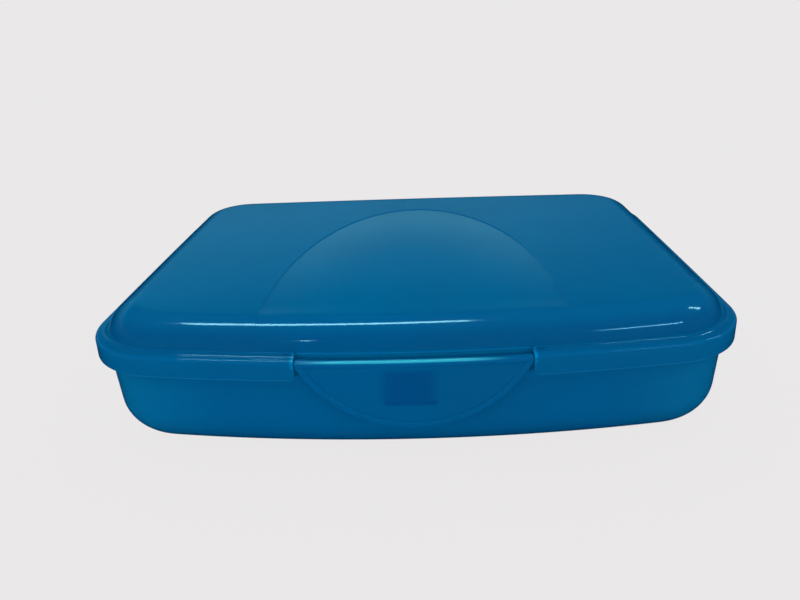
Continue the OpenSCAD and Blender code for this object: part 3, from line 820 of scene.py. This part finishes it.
# %% Plate and rim
CLIP_LOW_Z = FLANGE_Z - 25.5
CLIP_ARC_R, CLIP_ARC_STEPS, CLIP_WALL, CLIP_FACE_IN, CLIP_PLATE_IN = 44.6, 80, 1.8, 0.3, 0.4
CLIP_RIM_W, CLIP_RIM_T, CLIP_RIM_ROUND = 2.2, 2.6, 0.35
BEAD_Z = FLANGE_Z - BEAD_R - 0.3


def clip_arc(inset):
    """The part of the clip's lower arc below the bead, inset from the clip's edge."""
    r = CLIP_ARC_R - inset
    high_z = CLIP_LOW_Z + CLIP_ARC_R
    half_turn = min(asin((CLIP_HALF - min(inset, CLIP_PLATE_IN)) / r),
                    pi / 2 - asin((high_z - BEAD_Z) / r))
    return arc(0, high_z, r, -pi / 2 - half_turn, -pi / 2 + half_turn, CLIP_ARC_STEPS)


def clip_plate():
    edge = clip_arc(CLIP_PLATE_IN)
    outline = edge + [(edge[-1][0], BEAD_Z), (edge[0][0], BEAD_Z)]
    plate = board("clip", outline, "y", CLIP_FACE_IN, CLIP_FACE_IN + CLIP_WALL)
    outline = clip_arc(0) + [(CLIP_HALF, BEAD_Z)]
    outline += clip_arc(CLIP_RIM_W)[::-1] + [(-CLIP_HALF, BEAD_Z)]
    rim = board("rim", outline, "y", 0, CLIP_RIM_T)
    soften(rim, CLIP_RIM_ROUND, segments=4, degrees=50)
    combine(plate, rim, "UNION")
    return plate


clip = clip_plate()
print("flat plate and rim:", len(clip.data.polygons), "faces")

# %% Lay the plate on the bow
STRIP_W, STRIPS_EACH_SIDE = 3, 12


def bend_to_bow(obj):
    """Cuts obj into strips along X and sets it on the bow of the front."""
    edit_all(obj)
    for i in range(-STRIPS_EACH_SIDE, STRIPS_EACH_SIDE + 1):
        bpy.ops.mesh.select_all(action="SELECT")
        bpy.ops.mesh.bisect(plane_co=(STRIP_W * i * MM, 0, 0), plane_no=(1, 0, 0))
    bpy.ops.object.mode_set(mode="OBJECT")
    for vert in obj.data.vertices:
        vert.co.y += front_y(vert.co.x / MM) * MM


bend_to_bow(clip)
print("clip's plate:", len(clip.data.polygons), "faces")

# %% [markdown]
# ## Bead, knuckles and hook of the clip
# The bead stiffens the clip's top edge, a knuckle at each of its ends turns on a pin, and
# the hook on the back holds under the catch. The bead could be a bevelled curve, but a
# circle spun round the bow's own centre stays exactly round and on the bow. All of it is
# one moulding with the plate.

# %% Bead
BEAD_SIDES, BEAD_STEPS, SAME_POINT = 32, 56, 1e-7


def clip_bead():
    bead_bow_r = FRONT_R - BEAD_R
    swing = asin(CLIP_HALF / bead_bow_r)
    centre = Vector((0, FRONT_R - HALF_D + PLAN_Y, BEAD_Z)) * MM
    start_clean()
    bpy.ops.mesh.primitive_circle_add(vertices=BEAD_SIDES, radius=BEAD_R * MM, enter_editmode=True,
                                      location=(0, 0, 0))
    obj = bpy.context.object
    obj.name = "bead"
    bm = bmesh.from_edit_mesh(obj.data)
    for vert in bm.verts:
        from_centre = bead_bow_r * MM + vert.co.x
        upwards = vert.co.y
        vert.co = centre + Vector((-from_centre * sin(swing), -from_centre * cos(swing), upwards))
    bmesh.update_edit_mesh(obj.data)
    bpy.ops.mesh.spin(steps=BEAD_STEPS, angle=-2 * swing, center=centre, axis=(0, 0, 1))
    bpy.ops.mesh.select_all(action="SELECT")
    bpy.ops.mesh.remove_doubles(threshold=SAME_POINT)
    bpy.ops.mesh.fill_holes(sides=0)
    close_edit()
    return obj


print(f"bead {2 * BEAD_R:.0f} thick at z {BEAD_Z:.1f}")

# %% Knuckles and hook
CLIP_KNUCKLE_W, CLIP_KNUCKLE_ROUND, CLIP_PIN_R, BORE_IN = 3.4, 0.2, 0.9, 0.5
HOOK_IN, HOOK_H, HOOK_BELOW, HOOK_ROUND = 3.2, 2.2, 0.4, 0.25


def clip_hook():
    top, tip = CATCH_Z - HOOK_BELOW, front_y(0, -HOOK_IN)
    root = front_y(0, -CLIP_FACE_IN - CLIP_WALL) - SEAT
    outline = [(root, top), (tip, top), (tip, top - HOOK_H / 2),
               (tip - HOOK_H / 3, top - HOOK_H), (root, top - HOOK_H)]
    hook = board("hook", outline, "x", -CATCH_W / 2, CATCH_W / 2)
    soften(hook, HOOK_ROUND)
    return hook


knuckles = [rod("knuckle", *on_side(s, CLIP_HALF - CLIP_KNUCKLE_W, CLIP_HALF),
                CLIP_PIN_Y, CLIP_PIN_Z, BEAD_R, CLIP_KNUCKLE_ROUND) for s in (-1, 1)]
combine(clip, clip_bead(), "UNION")
combine(clip, joined(knuckles + [clip_hook()], "added"), "UNION")
bores = [rod("bore", *on_side(s, CLIP_HALF - CLIP_KNUCKLE_W + BORE_IN, CLIP_HALF + PAST),
             CLIP_PIN_Y, CLIP_PIN_Z, CLIP_PIN_R + RUNNING_GAP) for s in (-1, 1)]
combine(clip, joined(bores, "bores"), "DIFFERENCE")
smooth(clip)
print("clip:", len(clip.data.polygons), "faces")

# %% [markdown]
# ## Dividers and pins
# The dividers are loose walls that stand in the ribs' slots. Their ends follow the tub's
# wall and its round, and a shallow scoop in the top edge leaves room for a finger. A box
# cut by a copy of the tub would fit as well, but a board drawn on its own outline keeps an
# even gap. The pins are short round bars; those of the hinge have a head.

# %% Outline of a divider
END_GAP, FLOOR_GAP, DIVIDER_CORNER_R, DIVIDER_ROUND = 0.5, 0.1, 13.0, 0.5
SCOOP_W, SCOOP_DEPTH, SCOOP_STEPS = 26.0, 4.0, 16


def divider_end():
    """Offset and height of a divider's end, from the floor up to the top edge."""
    run = []
    for t in angles(0, 90, 6):
        z = FLOOR_Z + INNER_FILLET * (1 - cos(t))
        run.append((tub_inner(z) - INNER_FILLET * (1 - sin(t)) - END_GAP, z + FLOOR_GAP))
    run.append((tub_inner(SEAM_Z - DIVIDER_CORNER_R) - END_GAP, SEAM_Z - DIVIDER_CORNER_R))
    run += [(tub_inner(SEAM_Z) - END_GAP - DIVIDER_CORNER_R * (1 - cos(t)),
             SEAM_Z - DIVIDER_CORNER_R * (1 - sin(t))) for t in angles(6, 90, 6)]
    return run


def scoop(at):
    """Points of the finger scoop, from the higher coordinate to the lower one."""
    r = (SCOOP_W ** 2 / 4 + SCOOP_DEPTH ** 2) / (2 * SCOOP_DEPTH)
    half_turn = asin(SCOOP_W / 2 / r)
    centre_z = SEAM_Z - SCOOP_DEPTH + r
    return arc(at, centre_z, r, -pi / 2 + half_turn, -pi / 2 - half_turn, SCOOP_STEPS)


def divider(name, outline, axis, at):
    """A divider whose outline lies across axis, with its middle at a coordinate."""
    wall = board(name, outline, axis, at - DIVIDER_T / 2, at + DIVIDER_T / 2)
    soften(wall, DIVIDER_ROUND, segments=4)
    smooth(wall)
    return wall


end_run = divider_end()
print("points in a divider's end:", len(end_run))

# %% The two dividers
CORNER_CUT_IN, CORNER_CUT_DOWN = 1.5, 2

outline = [(back_y(DIVIDER_X, offset), z) for offset, z in end_run] + scoop(-HALF_D / 2 + PLAN_Y)
outline += [(front_y(DIVIDER_X, offset), z) for offset, z in end_run[::-1]]
long_divider = divider("long_divider", outline, "x", DIVIDER_X)

outline = [(CROSS_START_X, FLOOR_Z + FLOOR_GAP)]
outline += [(side_x(DIVIDER_Y, offset), z) for offset, z in end_run]
outline += scoop((CROSS_START_X + HALF_W) / 2)
outline += [(CROSS_START_X + DIVIDER_CORNER_R / 2, SEAM_Z),
            (CROSS_START_X + CORNER_CUT_IN, SEAM_Z - CORNER_CUT_DOWN),
            (CROSS_START_X, SEAM_Z - DIVIDER_CORNER_R / 2)]
cross_divider = divider("cross_divider", outline, "y", DIVIDER_Y)
print("dividers:", [len(wall.data.polygons) for wall in (long_divider, cross_divider)], "faces")

# %% Pins
SIDES = {-1: "left", 1: "right"}
PIN_HEAD_R, PIN_HEAD_T, PIN_HEAD_ROUND, SHANK_ROUND = 2.0, 1.0, 0.35, 0.2
CLIP_PIN_IN, CLIP_PIN_SHORT, CLIP_PIN_ROUND = 1, 0.5, 0.15


def hinge_pin(s):
    end = HINGE_X + EAR_SPAN
    shank = rod("hinge_pin", *on_side(s, HINGE_X - EAR_SPAN, end), HINGE_Y, HINGE_Z,
                HINGE_PIN_R, SHANK_ROUND)
    head = rod("head", *on_side(s, end, end + PIN_HEAD_T), HINGE_Y, HINGE_Z,
               PIN_HEAD_R, PIN_HEAD_ROUND)
    pin = joined([shank, head], f"hinge_pin_{SIDES[s]}_visual")
    smooth(pin)
    return pin


def clip_pin(s):
    reach_x = on_side(s, CLIP_HALF - CLIP_KNUCKLE_W + CLIP_PIN_IN, WINDOW_HALF - CLIP_PIN_SHORT)
    pin = rod("clip_pin_" + SIDES[s], *reach_x, CLIP_PIN_Y, CLIP_PIN_Z, CLIP_PIN_R, CLIP_PIN_ROUND)
    smooth(pin)
    return pin


hinge_pins = {s: hinge_pin(s) for s in SIDES}
clip_pins = {s: clip_pin(s) for s in SIDES}
print("pins:", [pin.name for pin in (*hinge_pins.values(), *clip_pins.values())])

# %% [markdown]
# ## The plastic
# The box is moulded in one deep-blue plastic that lets a little light through, so its
# light and shade are uneven: the rounded ends look lighter than the middle, the dome's
# steep wall looks deeper than its top, and the catch shows as a darker patch behind the
# clip. The surface is polished, with a slight waviness and small changes of gloss. Real
# transmission through 2 mm walls would show this by itself, but it renders slowly and with
# much noise. So nodes on Object coordinates paint it into the colour by place, as painted
# light and painted shade; noise does the rest, and a little subsurface light softens it.

# %% Nodes that measure
def noise(tree, place, scale, detail):
    node = tree.nodes.new("ShaderNodeTexNoise")
    node.inputs["Scale"].default_value = scale
    node.inputs["Detail"].default_value = detail
    tree.links.new(place, node.inputs["Vector"])
    return node.outputs["Fac"]


def mapped(tree, value, low, high, to_low=0.0, to_high=1.0):
    """Turns the value's range from low to high into another range, with soft ends."""
    node = tree.nodes.new("ShaderNodeMapRange")
    node.interpolation_type = "SMOOTHSTEP"
    limits = {"From Min": low, "From Max": high, "To Min": to_low, "To Max": to_high}
    for name, number in limits.items():
        node.inputs[name].default_value = number
    tree.links.new(value, node.inputs["Value"])
    return node.outputs["Result"]


def calculated(tree, operation, first, second=None):
    node = tree.nodes.new("ShaderNodeMath")
    node.operation = operation
    for socket, value in zip(node.inputs, (first, second)):
        if isinstance(value, float):
            socket.default_value = value
        elif value is not None:
            tree.links.new(value, socket)
    return node.outputs["Value"]


def window(tree, value, low, high, soft, soft_high=None):
    """1 where the value is between low and high, 0 outside, with soft ends. In millimetres."""
    end = soft if soft_high is None else soft_high
    rise = mapped(tree, value, (low - soft) * MM, (low + soft) * MM)
    fall = mapped(tree, value, (high - end) * MM, (high + end) * MM, 1.0, 0.0)
    return calculated(tree, "MULTIPLY", rise, fall)


print("node helpers: noise, mapped, calculated, window")

# %% Nodes that mix colours
def blended(tree, factor, first, second):
    """A colour between first and second. Each is a colour or another node's output."""
    node = tree.nodes.new("ShaderNodeMix")
    node.data_type = "RGBA"
    node.blend_type = "MIX"
    tree.links.new(factor, node.inputs["Factor"])
    for socket, value in ((node.inputs["A"], first), (node.inputs["B"], second)):
        if isinstance(value, tuple):
            socket.default_value = (*value, 1)
        else:
            tree.links.new(value, socket)
    return node.outputs["Result"]


BLACK = (0.0, 0.0, 0.0)
print("node helper: blended")

# %% Where a colour goes
ARCH_LINE_AT = 0.1    # metres, so the arch's line is at 100 mm


def arch_field(tree, split):
    """100 mm on the arch's line, and less inside it, down to 0 in the middle of its front."""
    across = calculated(tree, "MULTIPLY", split.outputs["X"], ARCH_LINE_AT / (ARCH_HALF_W * MM))
    from_front = calculated(tree, "SUBTRACT", split.outputs["Y"], ARCH_STRAIGHT_Y * MM)
    along = calculated(tree, "MULTIPLY", from_front, ARCH_LINE_AT / (ARCH_REACH * MM))
    squares = [calculated(tree, "MULTIPLY", part, part) for part in (across, along)]
    return calculated(tree, "SQRT", calculated(tree, "ADD", *squares))


def patched(tree, split, side, colour, patches):
    """Lays each patch's colour over the others inside the ranges that it names."""
    measures = {"SIDE": side, **{axis: split.outputs[axis] for axis in "XYZ"}}
    if any("ARCH" in ranges for _, ranges in patches):
        measures["ARCH"] = arch_field(tree, split)
    for patch_colour, ranges in patches:
        inside = None
        for name, span in ranges.items():
            part = window(tree, measures[name], *span)
            inside = calculated(tree, "MULTIPLY", inside, part) if inside else part
        colour = blended(tree, inside, colour, patch_colour)
    return colour


print("the arch's line is at", ARCH_LINE_AT / MM, "mm")

# %% The plastic itself
# The ends are painted lighter: painted light that stands for light shining through the plastic.
END_START, END_FULL = 60.0, 112.0                # where the lighter ends begin and are full
ROUGHNESS, ROUGHNESS_DRIFT, COLOUR_DRIFT = 0.07, 0.03, 0.08
CLOUD_SCALE, CLOUD_DETAIL, CLOUD_RANGE = 14.0, 3.0, (0.3, 0.7)
WAVE_SCALE, WAVE_STRENGTH, WAVE_DEPTH = 120.0, 0.06, 0.00005
IOR = 1.49                                       # of clear moulded plastic
GLOW_WEIGHT, GLOW_RADIUS, GLOW_SCALE = 0.4, (0.2, 0.8, 1.0), 0.004


def plastic(name, middle, ends, patches=()):
    """Deep-blue plastic. A patch is a colour and the ranges that it fills, in millimetres."""
    material = bpy.data.materials.new(name)
    material.use_nodes = True
    tree = material.node_tree
    shader = tree.nodes["Principled BSDF"]
    place = tree.nodes.new("ShaderNodeTexCoord").outputs["Object"]
    split = tree.nodes.new("ShaderNodeSeparateXYZ")
    tree.links.new(place, split.inputs["Vector"])
    side = calculated(tree, "ABSOLUTE", split.outputs["X"])
    # Painted light: towards the rounded ends the colour turns to the lighter colour of the ends.
    end_light_share = mapped(tree, side, END_START * MM, END_FULL * MM)
    colour = blended(tree, end_light_share, middle, ends)
    colour = patched(tree, split, side, colour, patches)
    cloud = noise(tree, place, CLOUD_SCALE, CLOUD_DETAIL)
    dim = mapped(tree, cloud, *CLOUD_RANGE, 0.0, COLOUR_DRIFT)
    tree.links.new(blended(tree, dim, colour, BLACK), shader.inputs["Base Color"])
    gloss = mapped(tree, cloud, *CLOUD_RANGE,
                   ROUGHNESS - ROUGHNESS_DRIFT, ROUGHNESS + ROUGHNESS_DRIFT)
    tree.links.new(gloss, shader.inputs["Roughness"])
    bump = tree.nodes.new("ShaderNodeBump")
    bump.inputs["Strength"].default_value = WAVE_STRENGTH
    bump.inputs["Distance"].default_value = WAVE_DEPTH
    tree.links.new(noise(tree, place, WAVE_SCALE, 0.0), bump.inputs["Height"])
    tree.links.new(bump.outputs["Normal"], shader.inputs["Normal"])
    shader.inputs["IOR"].default_value = IOR
    shader.inputs["Subsurface Weight"].default_value = GLOW_WEIGHT
    shader.inputs["Subsurface Radius"].default_value = GLOW_RADIUS
    shader.inputs["Subsurface Scale"].default_value = GLOW_SCALE
    return material


print(f"roughness {ROUGHNESS} give or take {ROUGHNESS_DRIFT}")

# %% [markdown]
# ## Colour by place
# Each patch paints light or shade that shows on the real box: painted shade on a wall seen
# edge on, painted light along edges, in the pocket and under the skirt, a painted reflection
# in the arch, a painted highlight on the clip's bead, and painted shade where the catch lies
# behind the clip. They could be painted on a UV map, but the ranges below stay right when a
# size changes. A range is its low end, its high end and how soft both are; a fourth number
# softens the high end on its own.

# %% Patches of the lid and the tub
# SIDE is the distance from the middle to either side, and ARCH is 100 on the arch's line.
# Painted shade: the dome's steep wall is darker than its top.
WALL_PAINTED_SHADE = ((0.0, 0.104, 0.288), {"Z": (FLANGE_Z + 1, TOTAL_H - 3, 2.0)})
# Painted light: a thin lighter line along the skirt's lower edge.
SKIRT_EDGE_PAINTED_LIGHT = ((0.006, 0.200, 0.450), {"Z": (SKIRT_Z - 1, SKIRT_Z + 0.45, 0.35)})
# Painted light on the tub just under the skirt, where the skirt would shade it.
UNDER_SKIRT_PAINTED_LIGHT = ((0.0, 0.152, 0.392), {"Z": (SKIRT_Z - 2.5, SKIRT_Z + 8, 2.0)})
POCKET_PLACE = {"X": (-GAP_HALF - 1, GAP_HALF + 1, 0.5), "Y": (FRONT_Y - 5, FRONT_Y + 8, 1.0)}
# Painted light on the pocket's walls behind the clip, which lie in shade.
POCKET_PAINTED_LIGHT = ((0.0, 0.190, 0.480), {**POCKET_PLACE, "Z": (FLANGE_Z - 3, POCKET_TOP - 0.2, 0.1)})
# Painted highlight: a lighter band along the top of the pocket's wall, under the flange.
POCKET_PAINTED_HIGHLIGHT = ((0.0, 0.255, 0.560),
                {**POCKET_PLACE, "Z": (FLANGE_Z - 0.8, FLANGE_Z + 0.1, 0.3, 0.05)})
# Painted light on the end faces and lugs at both sides of the gap, which lie in shade.
GAP_ENDS_PAINTED_LIGHT = ((0.0, 0.165, 0.380),
            {"SIDE": (GAP_HALF - 1.5, GAP_HALF + 0.1, 0.1),
             "Y": (FRONT_Y - 1, FRONT_Y + 6, 0.5), "Z": (SKIRT_Z - 1, FLANGE_Z, 0.3)})
# Painted reflection: a lighter sheen on the top inside the arch, strongest near its line.
ARCH_PAINTED_REFLECTION = ((0.026, 0.185, 0.375),
             {"ARCH": (68.0, 100.0, 32.0, 0.25), "Y": (-18.0, 60.0, 62.0, 1.0),
              "Z": (TOTAL_H - 1.2, TOTAL_H + 1, 0.3)})
lid_patches = (WALL_PAINTED_SHADE, SKIRT_EDGE_PAINTED_LIGHT, POCKET_PAINTED_LIGHT, POCKET_PAINTED_HIGHLIGHT, GAP_ENDS_PAINTED_LIGHT, ARCH_PAINTED_REFLECTION)
print("patches on the lid:", len(lid_patches))

# %% Patches of the clip
# Painted shade: a darker patch on the clip where the catch lies behind it, with a crisper lower
# edge.
CATCH_SHADE = ((0.0, 0.086, 0.274),
               {"X": (-10.5, 6.8, 3.0), "Z": (CATCH_Z + 3.6, CATCH_Z + CATCH_H + 1, 1.2)})
CATCH_EDGE_PAINTED_SHADE = ((0.0, 0.080, 0.266),
              {"X": (-10.2, 7.4, 0.6), "Z": (CATCH_Z + 2.2, CATCH_Z + 3.9, 0.35)})
# Painted highlight: a light cyan line along the upper front of the clip's bead.
BEAD_PAINTED_HIGHLIGHT = ((0.030, 0.480, 0.640),
             {"X": (-35.0, 25.0, 9.0), "Z": (BEAD_Z + 0.85, BEAD_Z + 1.45, 0.25),
              "Y": (FRONT_Y - 1, FRONT_Y + 1.6, 0.4)})
clip_patches = (CATCH_SHADE, CATCH_EDGE_PAINTED_SHADE, BEAD_PAINTED_HIGHLIGHT)
print("patches on the clip:", len(clip_patches))

# %% The five plastics
# The second colour of each plastic is the painted light of its rounded ends.
lid_plastic = plastic("blue_lid_plastic", (0.0, 0.127, 0.326), (0.0, 0.131, 0.330), lid_patches)
tub_patches = (UNDER_SKIRT_PAINTED_LIGHT,)
tub_plastic = plastic("blue_tub_plastic", (0.0, 0.130, 0.345), (0.001, 0.165, 0.375), tub_patches)
clip_plastic = plastic("blue_clip_plastic", (0.0, 0.118, 0.318), (0.0, 0.118, 0.318), clip_patches)
divider_plastic = plastic("blue_divider_plastic", (0.004, 0.150, 0.340), (0.004, 0.165, 0.350))
pin_plastic = plastic("blue_pin_plastic", (0.0, 0.080, 0.220), (0.0, 0.086, 0.230))
plastics = (lid_plastic, tub_plastic, clip_plastic, divider_plastic, pin_plastic)
print("materials:", [material.name for material in plastics])

# %% [markdown]
# ## Finish, body and solid
# Every piece gets its plastic, and is then tied to the frame: it rides on the body that
# carries it and stands for the solid that it hides. Parenting to an empty would move it
# too, but only a body of the frame moves with the joints.

# %% Give each piece its finish, its body and its solid
def settle(piece, material, body, solid):
    piece.data.materials.clear()
    piece.data.materials.append(material)
    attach(piece, body)
    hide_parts(solid)
    print(piece.name, "rides on", body, "and stands for", solid)


settle(tub, tub_plastic, "tub", "base_tub")
settle(lid, lid_plastic, "lid", "lid_shell")
settle(clip, clip_plastic, "clip", "front_latch")
settle(long_divider, divider_plastic, "long_divider", "divider_long")
settle(cross_divider, divider_plastic, "cross_divider", "divider_cross")
for s, side in SIDES.items():
    settle(hinge_pins[s], pin_plastic, "tub", "hinge_pin_" + side)
    settle(clip_pins[s], pin_plastic, "lid", "latch_pin_" + side)

# %% [markdown]
# ## Floor
# The box stands on a plain pale surface that runs to the horizon without an edge. Strong
# lamps on a white plane would show it as bright, but would bleach the blue too. So the
# floor glows by itself for the camera alone, mixed with a little of a matt finish that
# takes the box's soft shadow. Polished plastic would mirror the pale floor all over, so
# for glossy rays the floor is almost black.

# %% Make the floor
FLOOR_SIZE = 60    # metres
PALE, PALE_SHARE = (0.825, 0.810, 0.816), 0.96
FLOOR_MIRRORED = (0.0, 0.004, 0.008)


def mixed(tree, factor, first, second):
    """A Mix Shader node: first where the factor is 0, second where it is 1."""
    mix = tree.nodes.new("ShaderNodeMixShader")
    if isinstance(factor, float):
        mix.inputs["Fac"].default_value = factor
    else:
        tree.links.new(factor, mix.inputs["Fac"])
    tree.links.new(first.outputs[0], mix.inputs[1])
    tree.links.new(second.outputs[0], mix.inputs[2])
    return mix


def glow(tree, colour):
    shader = tree.nodes.new("ShaderNodeEmission")
    shader.inputs["Color"].default_value = (*colour, 1)
    return shader


def floor_finish():
    """Bright for the camera, matt for soft light, and dark in the plastic's reflections."""
    material = bpy.data.materials.new("pale_floor")
    material.use_nodes = True
    tree = material.node_tree
    tree.nodes.remove(tree.nodes["Principled BSDF"])
    matt = tree.nodes.new("ShaderNodeBsdfDiffuse")
    matt.inputs["Color"].default_value = (*PALE, 1)
    lit = mixed(tree, PALE_SHARE, matt, glow(tree, PALE))
    path = tree.nodes.new("ShaderNodeLightPath")
    seen = mixed(tree, path.outputs["Is Camera Ray"], matt, lit)
    mirrored = mixed(tree, path.outputs["Is Glossy Ray"], seen, glow(tree, FLOOR_MIRRORED))
    tree.links.new(mirrored.outputs[0], tree.nodes["Material Output"].inputs["Surface"])
    return material


start_clean()
bpy.ops.mesh.primitive_plane_add(size=FLOOR_SIZE, location=(0, 0, 0))
floor = bpy.context.object
floor.name = "floor"
floor.data.materials.append(floor_finish())
print("floor:", FLOOR_SIZE, "metres across")

# %% [markdown]
# ## World
# Around the real box is an even, pale room. A plain white world would light it well, but
# its mirror image would lie over the polished plastic like a grey film. So the world is
# three things: an even sky for soft light, a pale backdrop for the camera, and for glossy
# rays a dark studio with a dim blue-green glow low above the horizon. That glow is what
# shows on the steep walls. It is weaker in front of the box and on its right.

# %% Make the world
SKY_LEVEL = 1.0
HORIZON = ((0.0, BLACK), (0.20, (0.03, 0.12, 0.13)), (0.24, (0.062, 0.23, 0.25)),
           (0.26, (0.07, 0.245, 0.32)), (0.29, (0.055, 0.23, 0.27)), (0.32, (0.04, 0.20, 0.23)),
           (0.355, (0.018, 0.17, 0.20)), (0.375, (0.0, 0.13, 0.16)), (0.43, BLACK))
FRONT_TO_BACK = (-0.1, 0.6, 0.4, 1.0)       # a range of directions, and the share at its ends
LEFT_TO_RIGHT = (0.05, 0.35, 1.0, 0.45)


def horizon(tree, height):
    """The glow's colour at each height above the floor."""
    ramp = tree.nodes.new("ShaderNodeValToRGB")
    stops = ramp.color_ramp.elements
    while len(stops) < len(HORIZON):
        stops.new(0.5)
    for stop, (position, colour) in zip(stops, HORIZON):
        stop.position = position
        stop.color = (*colour, 1)
    tree.links.new(height, ramp.inputs["Fac"])
    return ramp.outputs["Color"]


def world():
    """Even light for the object, and a dark studio with a pale horizon in its reflections."""
    sky = bpy.data.worlds.new("studio")
    bpy.context.scene.world = sky
    sky.use_nodes = True
    tree = sky.node_tree
    place = tree.nodes.new("ShaderNodeTexCoord")
    split = tree.nodes.new("ShaderNodeSeparateXYZ")
    tree.links.new(place.outputs["Generated"], split.inputs["Vector"])
    behind = mapped(tree, split.outputs["Y"], *FRONT_TO_BACK)
    right = mapped(tree, split.outputs["X"], *LEFT_TO_RIGHT)
    share = calculated(tree, "MULTIPLY", behind, right)
    studio = blended(tree, share, BLACK, horizon(tree, split.outputs["Z"]))
    path = tree.nodes.new("ShaderNodeLightPath")
    light = blended(tree, path.outputs["Is Glossy Ray"], (SKY_LEVEL,) * 3, studio)
    seen = blended(tree, path.outputs["Is Camera Ray"], light, PALE)
    tree.links.new(seen, tree.nodes["Background"].inputs["Color"])


world()
print("colours in the horizon's glow:", len(HORIZON))

# %% [markdown]
# ## Lamps
# Long lamps and windows draw thin cyan lines along the rounds of the real box. Small
# bright shapes in the world could draw them, but an area lamp is easier to aim and its
# edges stay sharp. These four are switched off for diffuse light, so they add highlights
# and leave the colour of the plastic as it is written.

# %% Make the lamps
LAMP_AIM = Vector((0, FRONT_Y, FLANGE_Z)) * MM
LAMP_DISTANCE = 1.1    # metres
CYAN, DEEP_CYAN = (0.33, 0.86, 1.0), (0.2, 0.7, 1.0)


def direction(azimuth, elevation):
    """A unit vector from the box. Azimuth 0 is the front and 90 the right, in degrees."""
    az, el = radians(azimuth), radians(elevation)
    return Vector((sin(az) * cos(el), -cos(az) * cos(el), sin(el)))


def strip(name, azimuth, elevation, size, radiance, turn=0.0, tint=CYAN):
    """A lamp that only shows in reflections. Its size is in metres."""
    light = bpy.data.lights.new(name, "AREA")
    light.shape = "RECTANGLE"
    light.size, light.size_y = size
    light.energy = radiance * pi * size[0] * size[1]
    light.color = tint
    obj = bpy.data.objects.new(name, light)
    bpy.context.scene.collection.objects.link(obj)
    away = direction(azimuth, elevation)
    obj.location = LAMP_AIM + away * LAMP_DISTANCE
    obj.rotation_euler = away.to_track_quat("Z", "Y").to_euler()
    obj.rotation_euler.rotate_axis("Z", radians(turn))
    obj.visible_diffuse = False
    return obj


overhead = strip("overhead_strip", 0, 90, size=(0.72, 0.11), radiance=17.0)
overhead.location = (-0.245, 0.05, 1.14)        # above the box and to its left
overhead.rotation_euler = (0, 0, radians(5))    # turned a little, as its reflection runs askew
strip("front_right_strip", 47, 36, size=(0.36, 0.03), radiance=26, turn=-14, tint=DEEP_CYAN)
strip("right_window", 104, 37, size=(0.05, 0.25), radiance=17)
strip("front_left_window", -24, 42, size=(0.025, 0.06), radiance=20)
print("lamps:", [light.name for light in bpy.data.lights])

# %% [markdown]
# ## Camera
# The camera looks down at the box from the front at about 21 degrees, a little from the
# right, from an arm's length away. Pointing it with a Track To constraint would be easier,
# but it couldn't roll. So its three axes are worked out and written into its matrix.

# %% Make the camera
AZIMUTH, ELEVATION, ROLL, DISTANCE, AIM_Z = 0.951, 21.19, -1.938, 321.285, 30.0
FOCAL_PX, SHIFT_X_PX, SHIFT_Y_PX = 712.518, 15.535, -15.967
IMAGE_W, SENSOR_W, NEAREST = 800, 36.0, 0.01


def camera():
    back, roll = direction(AZIMUTH, ELEVATION), radians(ROLL)
    right = (-back).cross(Vector((0, 0, 1))).normalized()
    up = right.cross(-back)
    right, up = right * cos(roll) + up * sin(roll), up * cos(roll) - right * sin(roll)
    place = (back * DISTANCE + Vector((0, PLAN_Y, AIM_Z))) * MM
    data = bpy.data.cameras.new("camera")
    data.sensor_width = SENSOR_W
    data.lens = FOCAL_PX / IMAGE_W * SENSOR_W
    data.shift_x = -SHIFT_X_PX / IMAGE_W
    data.shift_y = SHIFT_Y_PX / IMAGE_W
    data.clip_start = NEAREST
    obj = bpy.data.objects.new("camera", data)
    bpy.context.scene.collection.objects.link(obj)
    matrix = obj.matrix_world.copy()
    for row in range(3):
        matrix[row] = (right[row], up[row], back[row], place[row])
    obj.matrix_world = matrix
    bpy.context.scene.camera = obj
    print(f"camera: a lens of {data.lens:.1f} mm, {place.length:.3f} m from the middle")


camera()
bpy.context.scene.view_settings.view_transform = "Standard"
